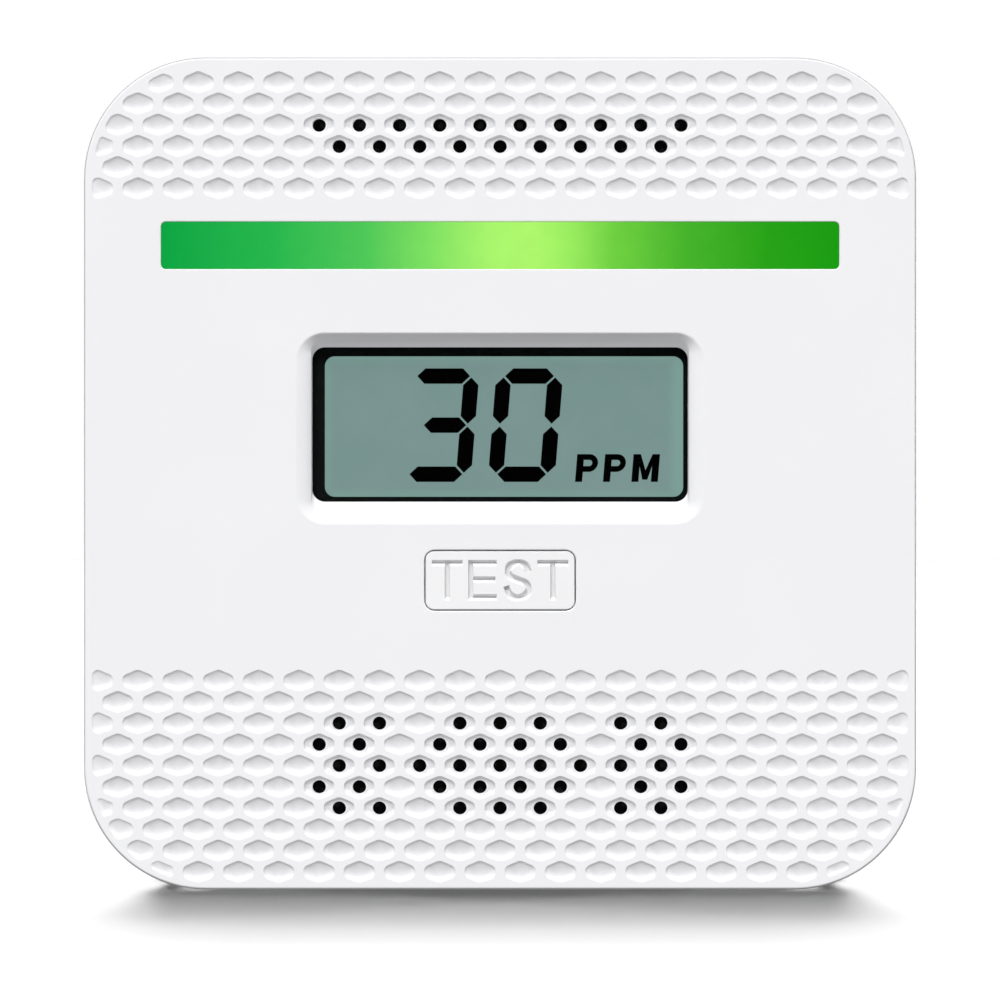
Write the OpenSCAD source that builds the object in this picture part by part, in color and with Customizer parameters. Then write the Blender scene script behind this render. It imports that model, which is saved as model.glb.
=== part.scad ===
// Battery carbon monoxide alarm: a square two-part housing with a honeycomb front, an LCD, a light bar,
// a test button, a battery bay with a hinged door, and a slide-on wall bracket.
//
// The parts are drawn in the plane of the front face: x to the right, y up from the body's centre, and
// depth backwards from the face. seated() then stands the body on its bottom face, front towards -Y.

/* [Body] */
// Width and height of the square body
body_w = 100; // [99:0.5:104]
// Depth from the front face to the back face
body_d = 37; // [37:0.5:40]
// Radius of the four corners, seen from the front
corner_r = 14.6; // [13:0.2:15]
// Radius along the front edges
front_fillet = 0.8; // [0.4:0.1:0.8]
// Radius along the back edges
back_fillet = 2.5; // [1:0.5:3]
// Wall thickness of both covers
wall = 2; // [1.8:0.1:2]
// Depth at which the front and rear covers meet
seam_d = 21; // [20.5:0.5:22]

/* [Honeycomb] */
// Distance between neighbouring dimples in a row
pitch_x = 4.834; // [4.8:0.002:4.84]
// Distance between rows
pitch_y = 2.55; // [2.5:0.01:2.55]
// Width of the ridge between dimples
ridge = 0.95; // [0.7:0.05:1.2]
// Depth of a dimple
dimple_depth = 0.6; // [0.3:0.1:0.8]
// Diameter of a vent hole
vent_d = 1.56; // [1.2:0.02:1.6]

/* [Display] */
// Width of the display window
window_w = 45.2; // [44:0.2:46]
// Height of the display window
window_h = 18.6; // [18:0.2:19]
// Height of the window's centre above the body's centre
window_y = 5.9; // [5.5:0.1:6.3]

/* [Light bar] */
// Length of the light bar
bar_w = 81.5; // [76:0.5:82]
// Height of the light bar
bar_h = 5.7; // [5:0.1:6]
// Height of the bar's centre above the body's centre
bar_y = 27.4; // [27:0.1:27.8]

/* [Test button] */
// Width of the button
button_w = 17.6; // [17:0.1:18]
// Height of the button
button_h = 6.8; // [6.4:0.1:7]
// Height of the button's centre above the body's centre
button_y = -12.85; // [-13.5:0.05:-12.5]
// Travel of the button
button_travel = 0.5; // [0.3:0.1:0.6]

/* [Wall bracket] */
// Distance between the two wall screws
wall_screw_pitch = 40; // [36:1:40]
// How far the bracket slides down to unhook
bracket_travel = 7; // [6:0.5:7]

/* [Hidden] */
$fn = 64;

clearance = 0.25;            // gap round a part that moves or drops in
cut = 1;                     // how far a cutter reaches past what it cuts

// Honeycomb: the row heights, and how far from the outline the dimples stop
upper_row_y = body_w / 2 - 2.95;
lower_row_y = -body_w / 2 + 25.15;
upper_rows = 6;
lower_rows = 10;
dimple_border = 0.85;

// Seam between the covers
reveal_h = 0.5;              // height of the shadow groove
reveal_in = 0.4;             // depth of the shadow groove
tongue_h = 1.6;
tongue_t = 0.9;

// Case screws, in from the back
case_screw_xy = body_w / 2 - 10.5;
boss_r = 3.6;
boss_meet_d = 20;            // where the front boss and the rear tube meet
screw_seat_d = body_d - 11;
screw_shank_r = 1.25;
screw_head_r = 2.75;
screw_head_h = 2.2;
screw_tip_d = 10;

// Main board
board_d = 12;                // front face of the board
board_t = 1.6;
board_w = 84;
board_h = body_w - 6;
board_notch = [7.2, 12];     // cut out of each corner, for the case screw bosses
board_screw_x = 35;
board_screw_ys = [-22, 20];
board_post_r = 3;

// Display
bezel_side = 1.8;            // width of the sloping bezel at each side, above and below the window
bezel_top = 1.9;
bezel_bottom = 2.4;
bezel_w = window_w + 2 * bezel_side;
bezel_h = window_h + bezel_top + bezel_bottom;
bezel_depth = 1.6;
window_r = 1.5;
window_t = 1;
lcd_frame_d = 3.1;
lcd_frame_size = [54, 26.2];
lcd_frame_t = 0.8;
lcd_frame_wall = 1.2;
lcd_margin = [1.45, 0.5, 0.6, 1.05]; // black frame seen at the left, right, bottom and top of the window
lcd_glass_d = 4;
lcd_glass_t = 1.1;
lcd_glass = [51, 23.4];
lcd_rear_h = 20;

// Light bar
lens_flange = 1.4;
lens_recess = 0.15;
reflector_wall = 1.4;
led_count = 8;
led_pitch = 10;
led_size = [3.5, 2.8];
led_h = 1.9;

// Test button and its switch
flange_w = 1.2;
flange_d = 2.2;
flange_t = 1;
stem_r = 1.6;
plunger_d = 7;               // front end of the switch plunger
plunger_r = 1.7;
plunger_l = 2.6;
switch_size = 6;
switch_h = 3.5;
letter_h = 4.4;
letter_w = 3.5;
letter_gap = 0.75;
letter_stroke = 0.55;
letter_depth = 0.3;

// Buzzer, behind the middle of the lower vents
buzzer_y = lower_row_y - 4 * pitch_y;
buzzer_r = 11.5;
buzzer_d = 4.4;
buzzer_wall = 1;
screen_t = 0.4;

// Sensor, behind the upper vents
sensor_at = [12, body_w / 2 - 10.1];
sensor_r = 7.2;
sensor_d = 5.4;
sensor_cap_t = 1;
sensor_port_r = 1.2;
filter_r = 3;
gasket_r = 6;

// Battery bay
cell_r = 7.1;
cell_len = 49.5;             // without the positive nub
nub_r = 2.75;
nub_h = 1;
sleeve_t = 0.15;
sleeve_len = 47.5;
cell_pitch = 15.2;
cell_y = 12.9 - body_w / 2;  // the lowest of the three cells
cell_d = body_d - 10.8;
bay_wall = 1.6;
bay_x = 29;
bay_y0 = 5 - body_w / 2;
bay_y1 = bay_y0 + 46.2;
bay_floor_d = cell_d - cell_r - bay_wall;
plate_t = 0.4;
plate_x = bay_x - plate_t;   // face of a contact plate
spring_r = [4.8, 3.2];       // at the plate and at the cell
spring_wire = 0.4;
spring_turns = 4;
tab_w = 3;
tab_d = 14.4;

// Battery door
door_t = 1.8;
door_x = bay_x + 1.2;
door_top_y = bay_y1 + 1.4;
hinge_r = 1.6;               // rolled edge of the door
hinge_y = bay_y0 + hinge_r + clearance;
hinge_d = body_d - hinge_r;
pin_r = 0.8;
pin_clearance = 0.08;
pin_l = 1.8;
catch_w = 16;                // rib inside the door's free edge
catch_t = 1.4;
catch_reach = 1.6;
catch_gap = 0.4;
mark_depth = 0.4;            // depth of the moulded arrows and lines

// Wall bracket
recess_depth = 3;
recess_x = 34;
recess_y0 = 6;
recess_y1 = 42;
bracket_t = 2.8;
bracket_x = recess_x - 0.8;
bracket_y0 = recess_y0 + bracket_travel + 0.4;
bracket_y1 = recess_y1 - 0.3;
wall_screw_r = 2.2;
wall_screw_y = (bracket_y0 + bracket_y1) / 2;
countersink = [4.2, 1.8];    // radius and depth
hook_x = 29;
hook_ys = [18, 32];
hook_w = 6;
hook_h = 3;
hook_lip = 4;
hook_t = 1.4;
recess_floor = 2;

// Routes of the two battery leads: steps in x, y and depth from a contact's tab, then straight onto the board
lead_r = 0.55;
lead_start_d = tab_d + 0.8;
lead_pad_d = board_d + board_t;
red_steps = [[0, 0, 0], [-1.2, 0.1, 0], [-4.5, 1.6, 0.2], [-8, 4.4, 0.1], [-11.6, 6.2, 0], [-13, 6.6, -0.6]];
black_steps = [[0, 0, 0], [1.2, 0.2, 0], [4.6, 2.4, 0.3], [7.2, 6.4, 0.2], [8.6, 10.6, 0], [8.8, 12, -0.6]];

// ---------------------------------------------------------------- placing

// Stands a part drawn in the face's plane upright, with the body's bottom on z = 0
module seated() translate([0, -body_d / 2, body_w / 2]) rotate([90, 0, 0]) children();

// Extrudes an outline between two depths
module slab(from, to) translate([0, 0, -to]) linear_extrude(height = to - from) children();

// A round bar between two depths
module rod(at, r, from, to) translate([at[0], at[1], -to]) cylinder(r = r, h = to - from);

// A round bar along x
module bar_x(from, to, y, depth, r)
    translate([from, y, -depth]) rotate([0, 90, 0]) cylinder(r = r, h = to - from);

// A box given by its lowest and highest x, y and depth
module box(x, y, d) translate([x[0], y[0], -d[1]]) cube([x[1] - x[0], y[1] - y[0], d[1] - d[0]]);

module both_sides() for (s = [-1, 1]) scale_x(s) children();
module scale_x(s) if (s < 0) mirror([1, 0, 0]) children(); else children();

module at_corners(x, y) for (i = [-1, 1], j = [-1, 1]) translate([i * x, j * y]) children();

// ---------------------------------------------------------------- outlines

module rounded_rect(w, h, r) {
    square([w - 2 * r, h], center = true);
    square([w, h - 2 * r], center = true);
    at_corners(w / 2 - r, h / 2 - r) circle(r);
}

module body_outline(inset) rounded_rect(body_w - 2 * inset, body_w - 2 * inset, corner_r - inset);

// One dimple: a cell of the grid, drawn in by half a ridge on each side
module dimple_outline() {
    tip = pitch_y * 2 / 3;
    slope = atan(tip / pitch_x);
    drop = ridge / 2 / cos(slope);
    x = (pitch_x - ridge) / 2;
    top = tip - drop;
    side = tip / 2 - drop + ridge / 2 * tan(slope);
    polygon([[0, top], [x, side], [x, -side], [0, -top], [-x, -side], [-x, side]]);
}

// ---------------------------------------------------------------- body shell

// The body's outline between two depths, with its edge rounded at the first depth
module filleted_body(from, to, fillet) {
    depth = to - from;
    side = body_w - 2 * corner_r;
    module half_section(reach) {
        square([reach - fillet, depth]);
        square([reach, depth - fillet]);
        translate([reach - fillet, depth - fillet]) circle(fillet);
    }
    translate([0, 0, -to]) {
        for (i = [-1, 1], j = [-1, 1]) translate([i * side / 2, j * side / 2, 0])
            rotate_extrude() half_section(corner_r);
        for (a = [0, 90, 180, 270]) rotate([0, 0, a])
            translate([-side / 2, 0, 0]) rotate([90, 0, 90])
                linear_extrude(height = side) half_section(body_w / 2);
    }
}

// The same, rounded at the back
module filleted_back(from, to, fillet)
    translate([0, 0, -from - to]) mirror([0, 0, 1]) filleted_body(from, to, fillet);

// ---------------------------------------------------------------- honeycomb and vents

function row_y(upper, k) = (upper ? upper_row_y : lower_row_y) - k * pitch_y;

// Rows with a dimple on the centre line alternate with rows that straddle it
function row_columns(upper, k) =
    (k % 2 == 0) == upper ? [for (i = [-10 : 9]) i + 0.5] : [for (i = [-10 : 10]) i];

function upper_vent_columns(k) =
    k == 2 ? [for (i = [-5 : 4]) i + 0.5] :
    k == 3 ? [for (i = [-4 : 4]) i] : [];

function lower_vent_columns(k) =
    k < 2 || k > 6 ? [] :
    k == 4 ? [for (i = [-4 : 4]) i] :
    k % 2 == 0 ? [-4, -3, -1, 0, 1, 3, 4] :
    [-4.5, -3.5, -1.5, -0.5, 0.5, 1.5, 3.5, 4.5];

// How far a point lies out into a corner, measured from the centre line of the corner's arc
function corner_reach(x, y) =
    norm([max(abs(x) - body_w / 2 + corner_r, 0), max(abs(y) - body_w / 2 + corner_r, 0)]);

module dimple_at(x, y) {
    whole = corner_reach(x, y) < corner_r - 4 && abs(x) < body_w / 2 - 3.2;
    reaches_in = corner_reach(x, y) < corner_r - dimple_border - 0.4;
    if (whole) slab(-cut, dimple_depth) translate([x, y]) dimple_outline();
    else if (reaches_in) slab(-cut, dimple_depth) intersection() {
        translate([x, y]) dimple_outline();
        body_outline(dimple_border);
    }
}

module dimples() {
    for (k = [0 : upper_rows - 1], c = row_columns(true, k)) dimple_at(c * pitch_x, row_y(true, k));
    for (k = [0 : lower_rows - 1], c = row_columns(false, k)) dimple_at(c * pitch_x, row_y(false, k));
}

module vents() {
    for (k = [0 : upper_rows - 1], c = upper_vent_columns(k))
        rod([c * pitch_x, row_y(true, k)], vent_d / 2, -cut, wall + cut);
    for (k = [0 : lower_rows - 1], c = lower_vent_columns(k))
        rod([c * pitch_x, row_y(false, k)], vent_d / 2, -cut, wall + cut);
}

// ---------------------------------------------------------------- covers

module display_opening() {
    slab(-cut, wall + cut) translate([0, window_y]) rounded_rect(window_w, window_h, window_r);
    hull() {
        slab(-0.01, 0) translate([0, window_y + (bezel_top - bezel_bottom) / 2])
            rounded_rect(bezel_w, bezel_h, window_r + bezel_side);
        slab(bezel_depth - 0.01, bezel_depth) translate([0, window_y])
            rounded_rect(window_w, window_h, window_r);
    }
}

module frame(outer, inner, r, from, to) slab(from, to) difference() {
    rounded_rect(outer[0], outer[1], r);
    square(inner, center = true);
}

module front_cover() color("whitesmoke") seated() difference() {
    union() {
        difference() {
            filleted_body(0, seam_d, front_fillet);
            slab(wall, seam_d + cut) body_outline(wall);
            slab(seam_d - tongue_h - 0.2, seam_d + cut) body_outline(wall - tongue_t - 0.1);
        }
        at_corners(case_screw_xy, case_screw_xy) rod([0, 0], boss_r, wall, boss_meet_d);
        for (i = [-1, 1], y = board_screw_ys) rod([i * board_screw_x, y], board_post_r, wall, board_d);
        translate([0, window_y, 0]) frame([52, 25.6], [49.4, 23], 1, wall, lcd_frame_d);
        translate([0, button_y, 0]) frame([24, 11], [20.8, 9.8], 1, wall, wall + 3.5);
        for (s = [-1, 1]) box([-42, 42], [bar_y + s * 5.4 - 0.5, bar_y + s * 5.4 + 0.5], [wall, wall + 2.5]);
    }
    dimples();
    vents();
    display_opening();
    slab(-cut, wall + cut) translate([0, bar_y]) rounded_rect(bar_w, bar_h, 0.6);
    slab(-cut, wall + cut) translate([0, button_y])
        rounded_rect(button_w + 2 * clearance, button_h + 2 * clearance, 1.25);
    at_corners(case_screw_xy, case_screw_xy)
        rod([0, 0], screw_shank_r + 0.05, screw_tip_d - 0.5, boss_meet_d + cut);
    for (i = [-1, 1], y = board_screw_ys) rod([i * board_screw_x, y], 1, 5.5, board_d + cut);
}

module rear_cover() color("whitesmoke") seated() difference() {
    union() {
        difference() {
            union() {
                filleted_back(seam_d + reveal_h, body_d, back_fillet);
                slab(seam_d, seam_d + reveal_h + 0.01) body_outline(reveal_in);
                slab(seam_d - tongue_h, seam_d + 0.01) body_outline(wall - tongue_t);
            }
            slab(seam_d - tongue_h - cut, body_d - wall) body_outline(wall);
        }
        box([-bay_x - bay_wall, bay_x + bay_wall], [bay_y0 - bay_wall, bay_y1 + bay_wall],
            [bay_floor_d, body_d - wall + 0.1]);
        box([-recess_x - wall, recess_x + wall], [recess_y0 - wall, recess_y1 + wall],
            [body_d - recess_depth - recess_floor, body_d - wall + 0.1]);
        at_corners(case_screw_xy, case_screw_xy) rod([0, 0], boss_r + 0.6, boss_meet_d, body_d - wall + 0.1);
        both_sides()
            box([door_x + 0.2, door_x + 3.6], [hinge_y - 2.4, hinge_y + 2.6], [hinge_d - 2.9, body_d - 1]);
    }
    bay_cuts();
    box([-recess_x, recess_x], [recess_y0, recess_y1], [body_d - recess_depth, body_d + cut]);
    for (i = [-1, 1], y = hook_ys)
        box([i * hook_x - hook_w / 2 - 0.3, i * hook_x + hook_w / 2 + 0.3],
            [y - bracket_travel - 0.3, y + hook_h + 0.2],
            [body_d - recess_depth - recess_floor - cut, body_d]);
    at_corners(case_screw_xy, case_screw_xy) {
        rod([0, 0], 1.7, boss_meet_d - cut, screw_seat_d + cut);
        rod([0, 0], 3.2, screw_seat_d, body_d + cut);
    }
}

// The battery bay's inside, the door's seat, the hinge's clearance and sockets, and the contacts' slots
module bay_cuts() {
    box([-bay_x, bay_x], [bay_y0, bay_y1], [bay_floor_d + bay_wall, body_d + cut]);
    box([-door_x - 0.2, door_x + 0.2], [hinge_y, door_top_y + 0.2], [body_d - door_t - 0.1, body_d + cut]);
    box([-door_x - 0.2, door_x + 0.2], [hinge_y - hinge_r - clearance, hinge_y + 0.1],
        [hinge_d, body_d + cut]);
    bar_x(-door_x - 0.2, door_x + 0.2, hinge_y, hinge_d, hinge_r + clearance);
    both_sides() bar_x(door_x, door_x + 0.2 + pin_l + 0.3, hinge_y, hinge_d, pin_r + pin_clearance);
    tab_slot(cell_centre(2));
    scale_x(-1) tab_slot(cell_centre(0));
}

module tab_slot(y) box([plate_x - 0.1, bay_x], [y - tab_w / 2 - 0.2, y + tab_w / 2 + 0.2],
    [bay_floor_d - cut, bay_floor_d + bay_wall + cut]);

// An arrowhead, pointing up or down
module arrowhead(size, turn) rotate(turn * 90) circle(size, $fn = 3);

// The door has a catch that fits inside the bay's upper edge, and grip grooves over an arrow
module battery_door() color("whitesmoke") seated() difference() {
    union() {
        box([-door_x, door_x], [hinge_y, door_top_y], [body_d - door_t, body_d]);
        bar_x(-door_x, door_x, hinge_y, hinge_d, hinge_r);
        both_sides() bar_x(door_x - 0.1, door_x + 0.2 + pin_l, hinge_y, hinge_d, pin_r);
        box([-catch_w / 2, catch_w / 2], [bay_y1 - catch_gap - catch_t, bay_y1 - catch_gap],
            [body_d - door_t - catch_reach, body_d - door_t + 0.1]);
    }
    for (k = [0 : 3]) bar_x(-7, 7, door_top_y - 3 - 1.8 * k, body_d + 0.2, 0.7);
    slab(body_d - mark_depth, body_d + cut) translate([0, door_top_y - 13.5]) arrowhead(2.6, -1);
}

// The bracket's hooks face the alarm; its back has a sunk line round it and an arrow that points up
module wall_bracket() color("gainsboro") seated() difference() {
    front = body_d - bracket_t;
    size = [2 * bracket_x, bracket_y1 - bracket_y0];
    union() {
        slab(front, body_d) translate([0, wall_screw_y]) rounded_rect(size[0], size[1], 2);
        for (i = [-1, 1], y = hook_ys) {
            x = [i * hook_x - hook_w / 2, i * hook_x + hook_w / 2];
            lip_back = body_d - recess_depth - recess_floor - 0.2;
            box(x, [y, y + hook_h], [lip_back - hook_t, front + 0.1]);
            box(x, [y, y + hook_h + hook_lip], [lip_back - hook_t, lip_back]);
        }
    }
    slab(body_d - mark_depth, body_d + cut) translate([0, wall_screw_y]) {
        difference() {
            rounded_rect(size[0] - 6, size[1] - 6, 2);
            rounded_rect(size[0] - 7.6, size[1] - 7.6, 1.2);
        }
        arrowhead(2.6, 1);
    }
    for (i = [-1, 1]) translate([i * wall_screw_pitch / 2, wall_screw_y, 0]) {
        rod([0, 0], wall_screw_r, front - cut, body_d + cut);
        translate([0, 0, -front - countersink[1]])
            cylinder(r1 = wall_screw_r, r2 = countersink[0], h = countersink[1]);
    }
}

// ---------------------------------------------------------------- what shows on the front

// Letters of plain strokes, each centred on the origin
module letter_t() {
    translate([0, (letter_h - letter_stroke) / 2]) square([letter_w, letter_stroke], center = true);
    square([letter_stroke, letter_h], center = true);
}

module letter_e() {
    translate([-(letter_w - letter_stroke) / 2, 0]) square([letter_stroke, letter_h], center = true);
    for (j = [-1, 0, 1]) translate([0, j * (letter_h - letter_stroke) / 2])
        square([letter_w, letter_stroke], center = true);
}

module letter_s() {
    loop_h = (letter_h + letter_stroke) / 2;
    for (a = [0, 180]) rotate([0, 0, a]) translate([0, (letter_h - loop_h) / 2]) difference() {
        rounded_rect(letter_w, loop_h, 1.1);
        rounded_rect(letter_w - 2 * letter_stroke, loop_h - 2 * letter_stroke, 1.1 - letter_stroke);
        translate([0.2, -loop_h / 2 + letter_stroke]) square([letter_w, loop_h / 2 - letter_stroke + 0.35]);
    }
}

module test_letters() {
    step = letter_w + letter_gap;
    translate([-1.5 * step, 0]) letter_t();
    translate([-0.5 * step, 0]) letter_e();
    translate([0.5 * step, 0]) letter_s();
    translate([1.5 * step, 0]) letter_t();
}

module test_button() color("whitesmoke") seated() translate([0, button_y, 0]) difference() {
    union() {
        slab(0, flange_d + 0.1) rounded_rect(button_w, button_h, 1);
        slab(flange_d, flange_d + flange_t) rounded_rect(button_w + 2 * flange_w, button_h + 2 * flange_w, 1);
        rod([0, 0], stem_r, flange_d + flange_t - 0.1, plunger_d - 0.05);
    }
    slab(-cut, letter_depth) test_letters();
}

module light_bar_lens() color("limegreen") seated() translate([0, bar_y, 0]) {
    slab(lens_recess, wall + 0.1) rounded_rect(bar_w - 0.2, bar_h - 0.2, 0.5);
    slab(wall, wall + 1.2) rounded_rect(bar_w + 2 * lens_flange, bar_h + 2 * lens_flange, 0.6);
}

module display_window() color("lightcyan", 0.4) seated()
    slab(wall, wall + window_t) translate([0, window_y]) rounded_rect(49, 22.6, 0.5);

module upper_vent_screen() color("black") seated()
    slab(wall, wall + screen_t) translate([0, sensor_at[1]]) square([49, 12.2], center = true);

module lower_vent_screen() color("black") seated()
    slab(wall, wall + screen_t) translate([0, buzzer_y]) square([50, 24], center = true);

// ---------------------------------------------------------------- fasteners

module cross_recess(at, size, from, depth) {
    box([at[0] - size, at[0] + size], [at[1] - 0.3, at[1] + 0.3], [from - depth, from + cut]);
    box([at[0] - 0.3, at[0] + 0.3], [at[1] - size, at[1] + size], [from - depth, from + cut]);
}

// A self-tapping screw: its head stands behind the seat and its shank runs forwards to a blunt point
module screw(at, seat, head_r, head_h, shank_r, tip) difference() {
    union() {
        rod(at, head_r, seat, seat + head_h);
        rod(at, shank_r, tip + 1, seat + 0.1);
        translate([at[0], at[1], -tip - 1]) cylinder(r1 = shank_r, r2 = shank_r / 2, h = 1);
    }
    cross_recess(at, head_r * 0.6, seat + head_h, head_h * 0.6);
}

module case_screws() color("silver") seated() for (i = [-1, 1], j = [-1, 1])
    screw([i * case_screw_xy, j * case_screw_xy], screw_seat_d, screw_head_r, screw_head_h,
        screw_shank_r, screw_tip_d);

module board_screws() color("silver") seated() for (i = [-1, 1], y = board_screw_ys)
    screw([i * board_screw_x, y], board_d + board_t, 2.2, 1.8, 0.95, 6);

// ---------------------------------------------------------------- board and display

module main_board() color("green") seated() difference() {
    slab(board_d, board_d + board_t) difference() {
        square([board_w, board_h], center = true);
        at_corners(board_w / 2, board_h / 2) square(2 * board_notch, center = true);
    }
    for (i = [-1, 1], y = board_screw_ys)
        rod([i * board_screw_x, y], 1.2, board_d - cut, board_d + board_t + cut);
    for (at = concat(buzzer_pin_ats(), sensor_pin_ats()))
        rod(at, 0.45, board_d - cut, board_d + board_t + cut);
}

module lcd_frame() color("black") seated() {
    w = window_w - lcd_margin[0] - lcd_margin[1];
    h = window_h - lcd_margin[2] - lcd_margin[3];
    slab(lcd_frame_d, lcd_frame_d + lcd_frame_t) difference() {
        translate([0, window_y]) rounded_rect(lcd_frame_size[0], lcd_frame_size[1], 1);
        translate([(lcd_margin[0] - lcd_margin[1]) / 2, window_y + (lcd_margin[2] - lcd_margin[3]) / 2])
            rounded_rect(w, h, 1.2);
    }
    translate([0, window_y, 0])
        frame(lcd_frame_size, lcd_frame_size - 2 * [lcd_frame_wall, lcd_frame_wall], 1,
            lcd_frame_d + lcd_frame_t - 0.1, board_d);
}

module lcd_layer(size, from, to)
    seated() slab(from, to) translate([0, window_y]) square(size, center = true);

module lcd_front_glass() color("darkseagreen")
    lcd_layer(lcd_glass, lcd_glass_d, lcd_glass_d + lcd_glass_t);

module lcd_rear_glass() color("darkseagreen")
    lcd_layer([lcd_glass[0], lcd_rear_h], lcd_glass_d + lcd_glass_t, lcd_glass_d + 2 * lcd_glass_t);

module lcd_reflector() color("silver") {
    front = lcd_glass_d + 2 * lcd_glass_t;
    lcd_layer([lcd_glass[0] - 2, lcd_rear_h - 1.5], front, front + 0.6);
}

// Conductive rubber strips from the glass's two ledges to the board
module lcd_connector_strips() color("dimgray") seated() for (s = [-1, 1])
    translate([0, s * (lcd_rear_h / 2 + 0.85), 0]) slab(lcd_glass_d + lcd_glass_t, board_d)
        translate([0, window_y]) square([46, 1.3], center = true);

// ---------------------------------------------------------------- lights

module light_bar_reflector() color("white") seated() translate([0, bar_y, 0]) {
    size = [bar_w + 2.4, bar_h + 3];
    frame(size, size - 2 * [reflector_wall, reflector_wall], 0.6, wall + 1.2, board_d);
}

module status_leds() color("khaki") seated() for (k = [0 : led_count - 1])
    slab(board_d - led_h, board_d) translate([(k - (led_count - 1) / 2) * led_pitch, bar_y])
        square(led_size, center = true);

// ---------------------------------------------------------------- switch

module switch_body() color("dimgray") seated() translate([0, button_y, 0]) difference() {
    slab(board_d - switch_h, board_d) square(switch_size, center = true);
    rod([0, 0], plunger_r + 0.1, board_d - switch_h - cut, plunger_d + plunger_l + button_travel + 0.1);
}

module switch_plunger() color("white") seated() translate([0, button_y, 0])
    rod([0, 0], plunger_r, plunger_d, plunger_d + plunger_l);

// ---------------------------------------------------------------- buzzer

function buzzer_pin_ats() = [for (s = [-1, 1]) [s * 5, buzzer_y]];

module buzzer_case() color("black") seated() difference() {
    rod([0, buzzer_y], buzzer_r, buzzer_d, board_d - buzzer_wall);
    rod([0, buzzer_y], buzzer_r - buzzer_wall - 1, buzzer_d + buzzer_wall, board_d);
    rod([0, buzzer_y], buzzer_r - buzzer_wall, 8, board_d);
    rod([0, buzzer_y], 2, buzzer_d - cut, board_d);
}

module buzzer_base() color("black") seated() difference() {
    rod([0, buzzer_y], buzzer_r, board_d - buzzer_wall, board_d);
    for (at = buzzer_pin_ats()) rod(at, 0.4, board_d - buzzer_wall - cut, board_d + cut);
}

module piezo_disc() color("gold") seated() {
    rod([0, buzzer_y], buzzer_r - buzzer_wall - 0.1, 8, 8.25);
    rod([0, buzzer_y], 7, 8.24, 8.5);
}

module buzzer_gasket() color("dimgray") seated() difference() {
    rod([0, buzzer_y], buzzer_r, wall + screen_t, buzzer_d);
    rod([0, buzzer_y], buzzer_r - 2, wall + screen_t - cut, buzzer_d + cut);
}

module buzzer_pins() color("silver") seated()
    for (at = buzzer_pin_ats()) rod(at, 0.4, board_d - buzzer_wall - 0.8, board_d + board_t + 1);

// ---------------------------------------------------------------- gas sensor

function sensor_pin_ats() = [for (a = [90, 210, 330]) sensor_at + 4.5 * [cos(a), sin(a)]];

module sensor_body() color("gray") seated() rod(sensor_at, sensor_r, sensor_d + sensor_cap_t, board_d);

module sensor_cap() color("gold") seated() difference() {
    rod(sensor_at, sensor_r, sensor_d, sensor_d + sensor_cap_t);
    rod(sensor_at, sensor_port_r, sensor_d - cut, sensor_d + sensor_cap_t + cut);
    rod(sensor_at, filter_r, sensor_d - cut, sensor_d + 0.4);
}

module sensor_filter() color("white") seated() rod(sensor_at, filter_r, sensor_d, sensor_d + 0.4);

module sensor_gasket() color("dimgray") seated() difference() {
    rod(sensor_at, gasket_r, wall + screen_t, sensor_d);
    rod(sensor_at, gasket_r - 2, wall + screen_t - cut, sensor_d + cut);
}

module sensor_pins() color("silver") seated()
    for (at = sensor_pin_ats()) rod(at, 0.4, board_d, board_d + board_t + 1);

// ---------------------------------------------------------------- parts on the board

chip_at = [-21, -17];
chip_w = 7;
chip_h = 1.4;
lead_pitch = 0.8;
leads_a_side = 8;

module controller_chip() color("black") seated()
    slab(board_d - chip_h - 0.1, board_d - 0.1) translate(chip_at) square(chip_w, center = true);

module controller_leads() color("silver") seated() translate([chip_at[0], chip_at[1], 0])
    for (a = [0, 90, 180, 270], k = [0 : leads_a_side - 1]) rotate([0, 0, a]) {
        y = (k - (leads_a_side - 1) / 2) * lead_pitch;
        box([chip_w / 2, chip_w / 2 + 0.4], [y - 0.17, y + 0.17], [board_d - 0.8, board_d]);
        box([chip_w / 2 + 0.3, chip_w / 2 + 1.1], [y - 0.17, y + 0.17], [board_d - 0.15, board_d]);
    }

module capacitors() color("midnightblue") seated()
    for (at = [[-31.5, 4], [-31.5, -5]]) rod(at, 3.1, board_d - 7.5, board_d);

module buzzer_coil() color("saddlebrown") seated() {
    rod([22, -18], 3.6, board_d - 7.5, board_d - 6.3);
    rod([22, -18], 2.8, board_d - 6.4, board_d - 1.1);
    rod([22, -18], 3.6, board_d - 1.2, board_d);
}

// Two rows of chip resistors beside the controller, and a column of them by the display
module chip_resistors() color("black") seated() {
    for (k = [0 : 4], r = [0, 1])
        slab(board_d - 0.55, board_d) translate([-34 + 2.6 * k, -29.5 - 3 * r])
            square([1.6, 0.85], center = true);
    for (k = [0 : 5], r = [0, 1])
        slab(board_d - 0.55, board_d) translate([31.5 + 3 * r, 14 - 2.6 * k])
            square([0.85, 1.6], center = true);
}

// ---------------------------------------------------------------- batteries

// The middle cell lies the other way round, so that the three are in series
function cell_turn(k) = k == 1 ? -1 : 1;
function cell_centre(k) = cell_y + k * cell_pitch;

module cell_can(k) color("silver") seated() scale_x(cell_turn(k)) {
    bar_x(plate_x - nub_h - cell_len, plate_x - nub_h, cell_centre(k), cell_d, cell_r - sleeve_t);
    bar_x(plate_x - nub_h - 0.1, plate_x, cell_centre(k), cell_d, nub_r);
}

module cell_sleeve(k) color("steelblue") seated() scale_x(cell_turn(k)) {
    mid = plate_x - nub_h - cell_len / 2;
    difference() {
        bar_x(mid - sleeve_len / 2, mid + sleeve_len / 2, cell_centre(k), cell_d, cell_r);
        bar_x(mid - cell_len, mid + cell_len, cell_centre(k), cell_d, cell_r - sleeve_t);
    }
}

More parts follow.
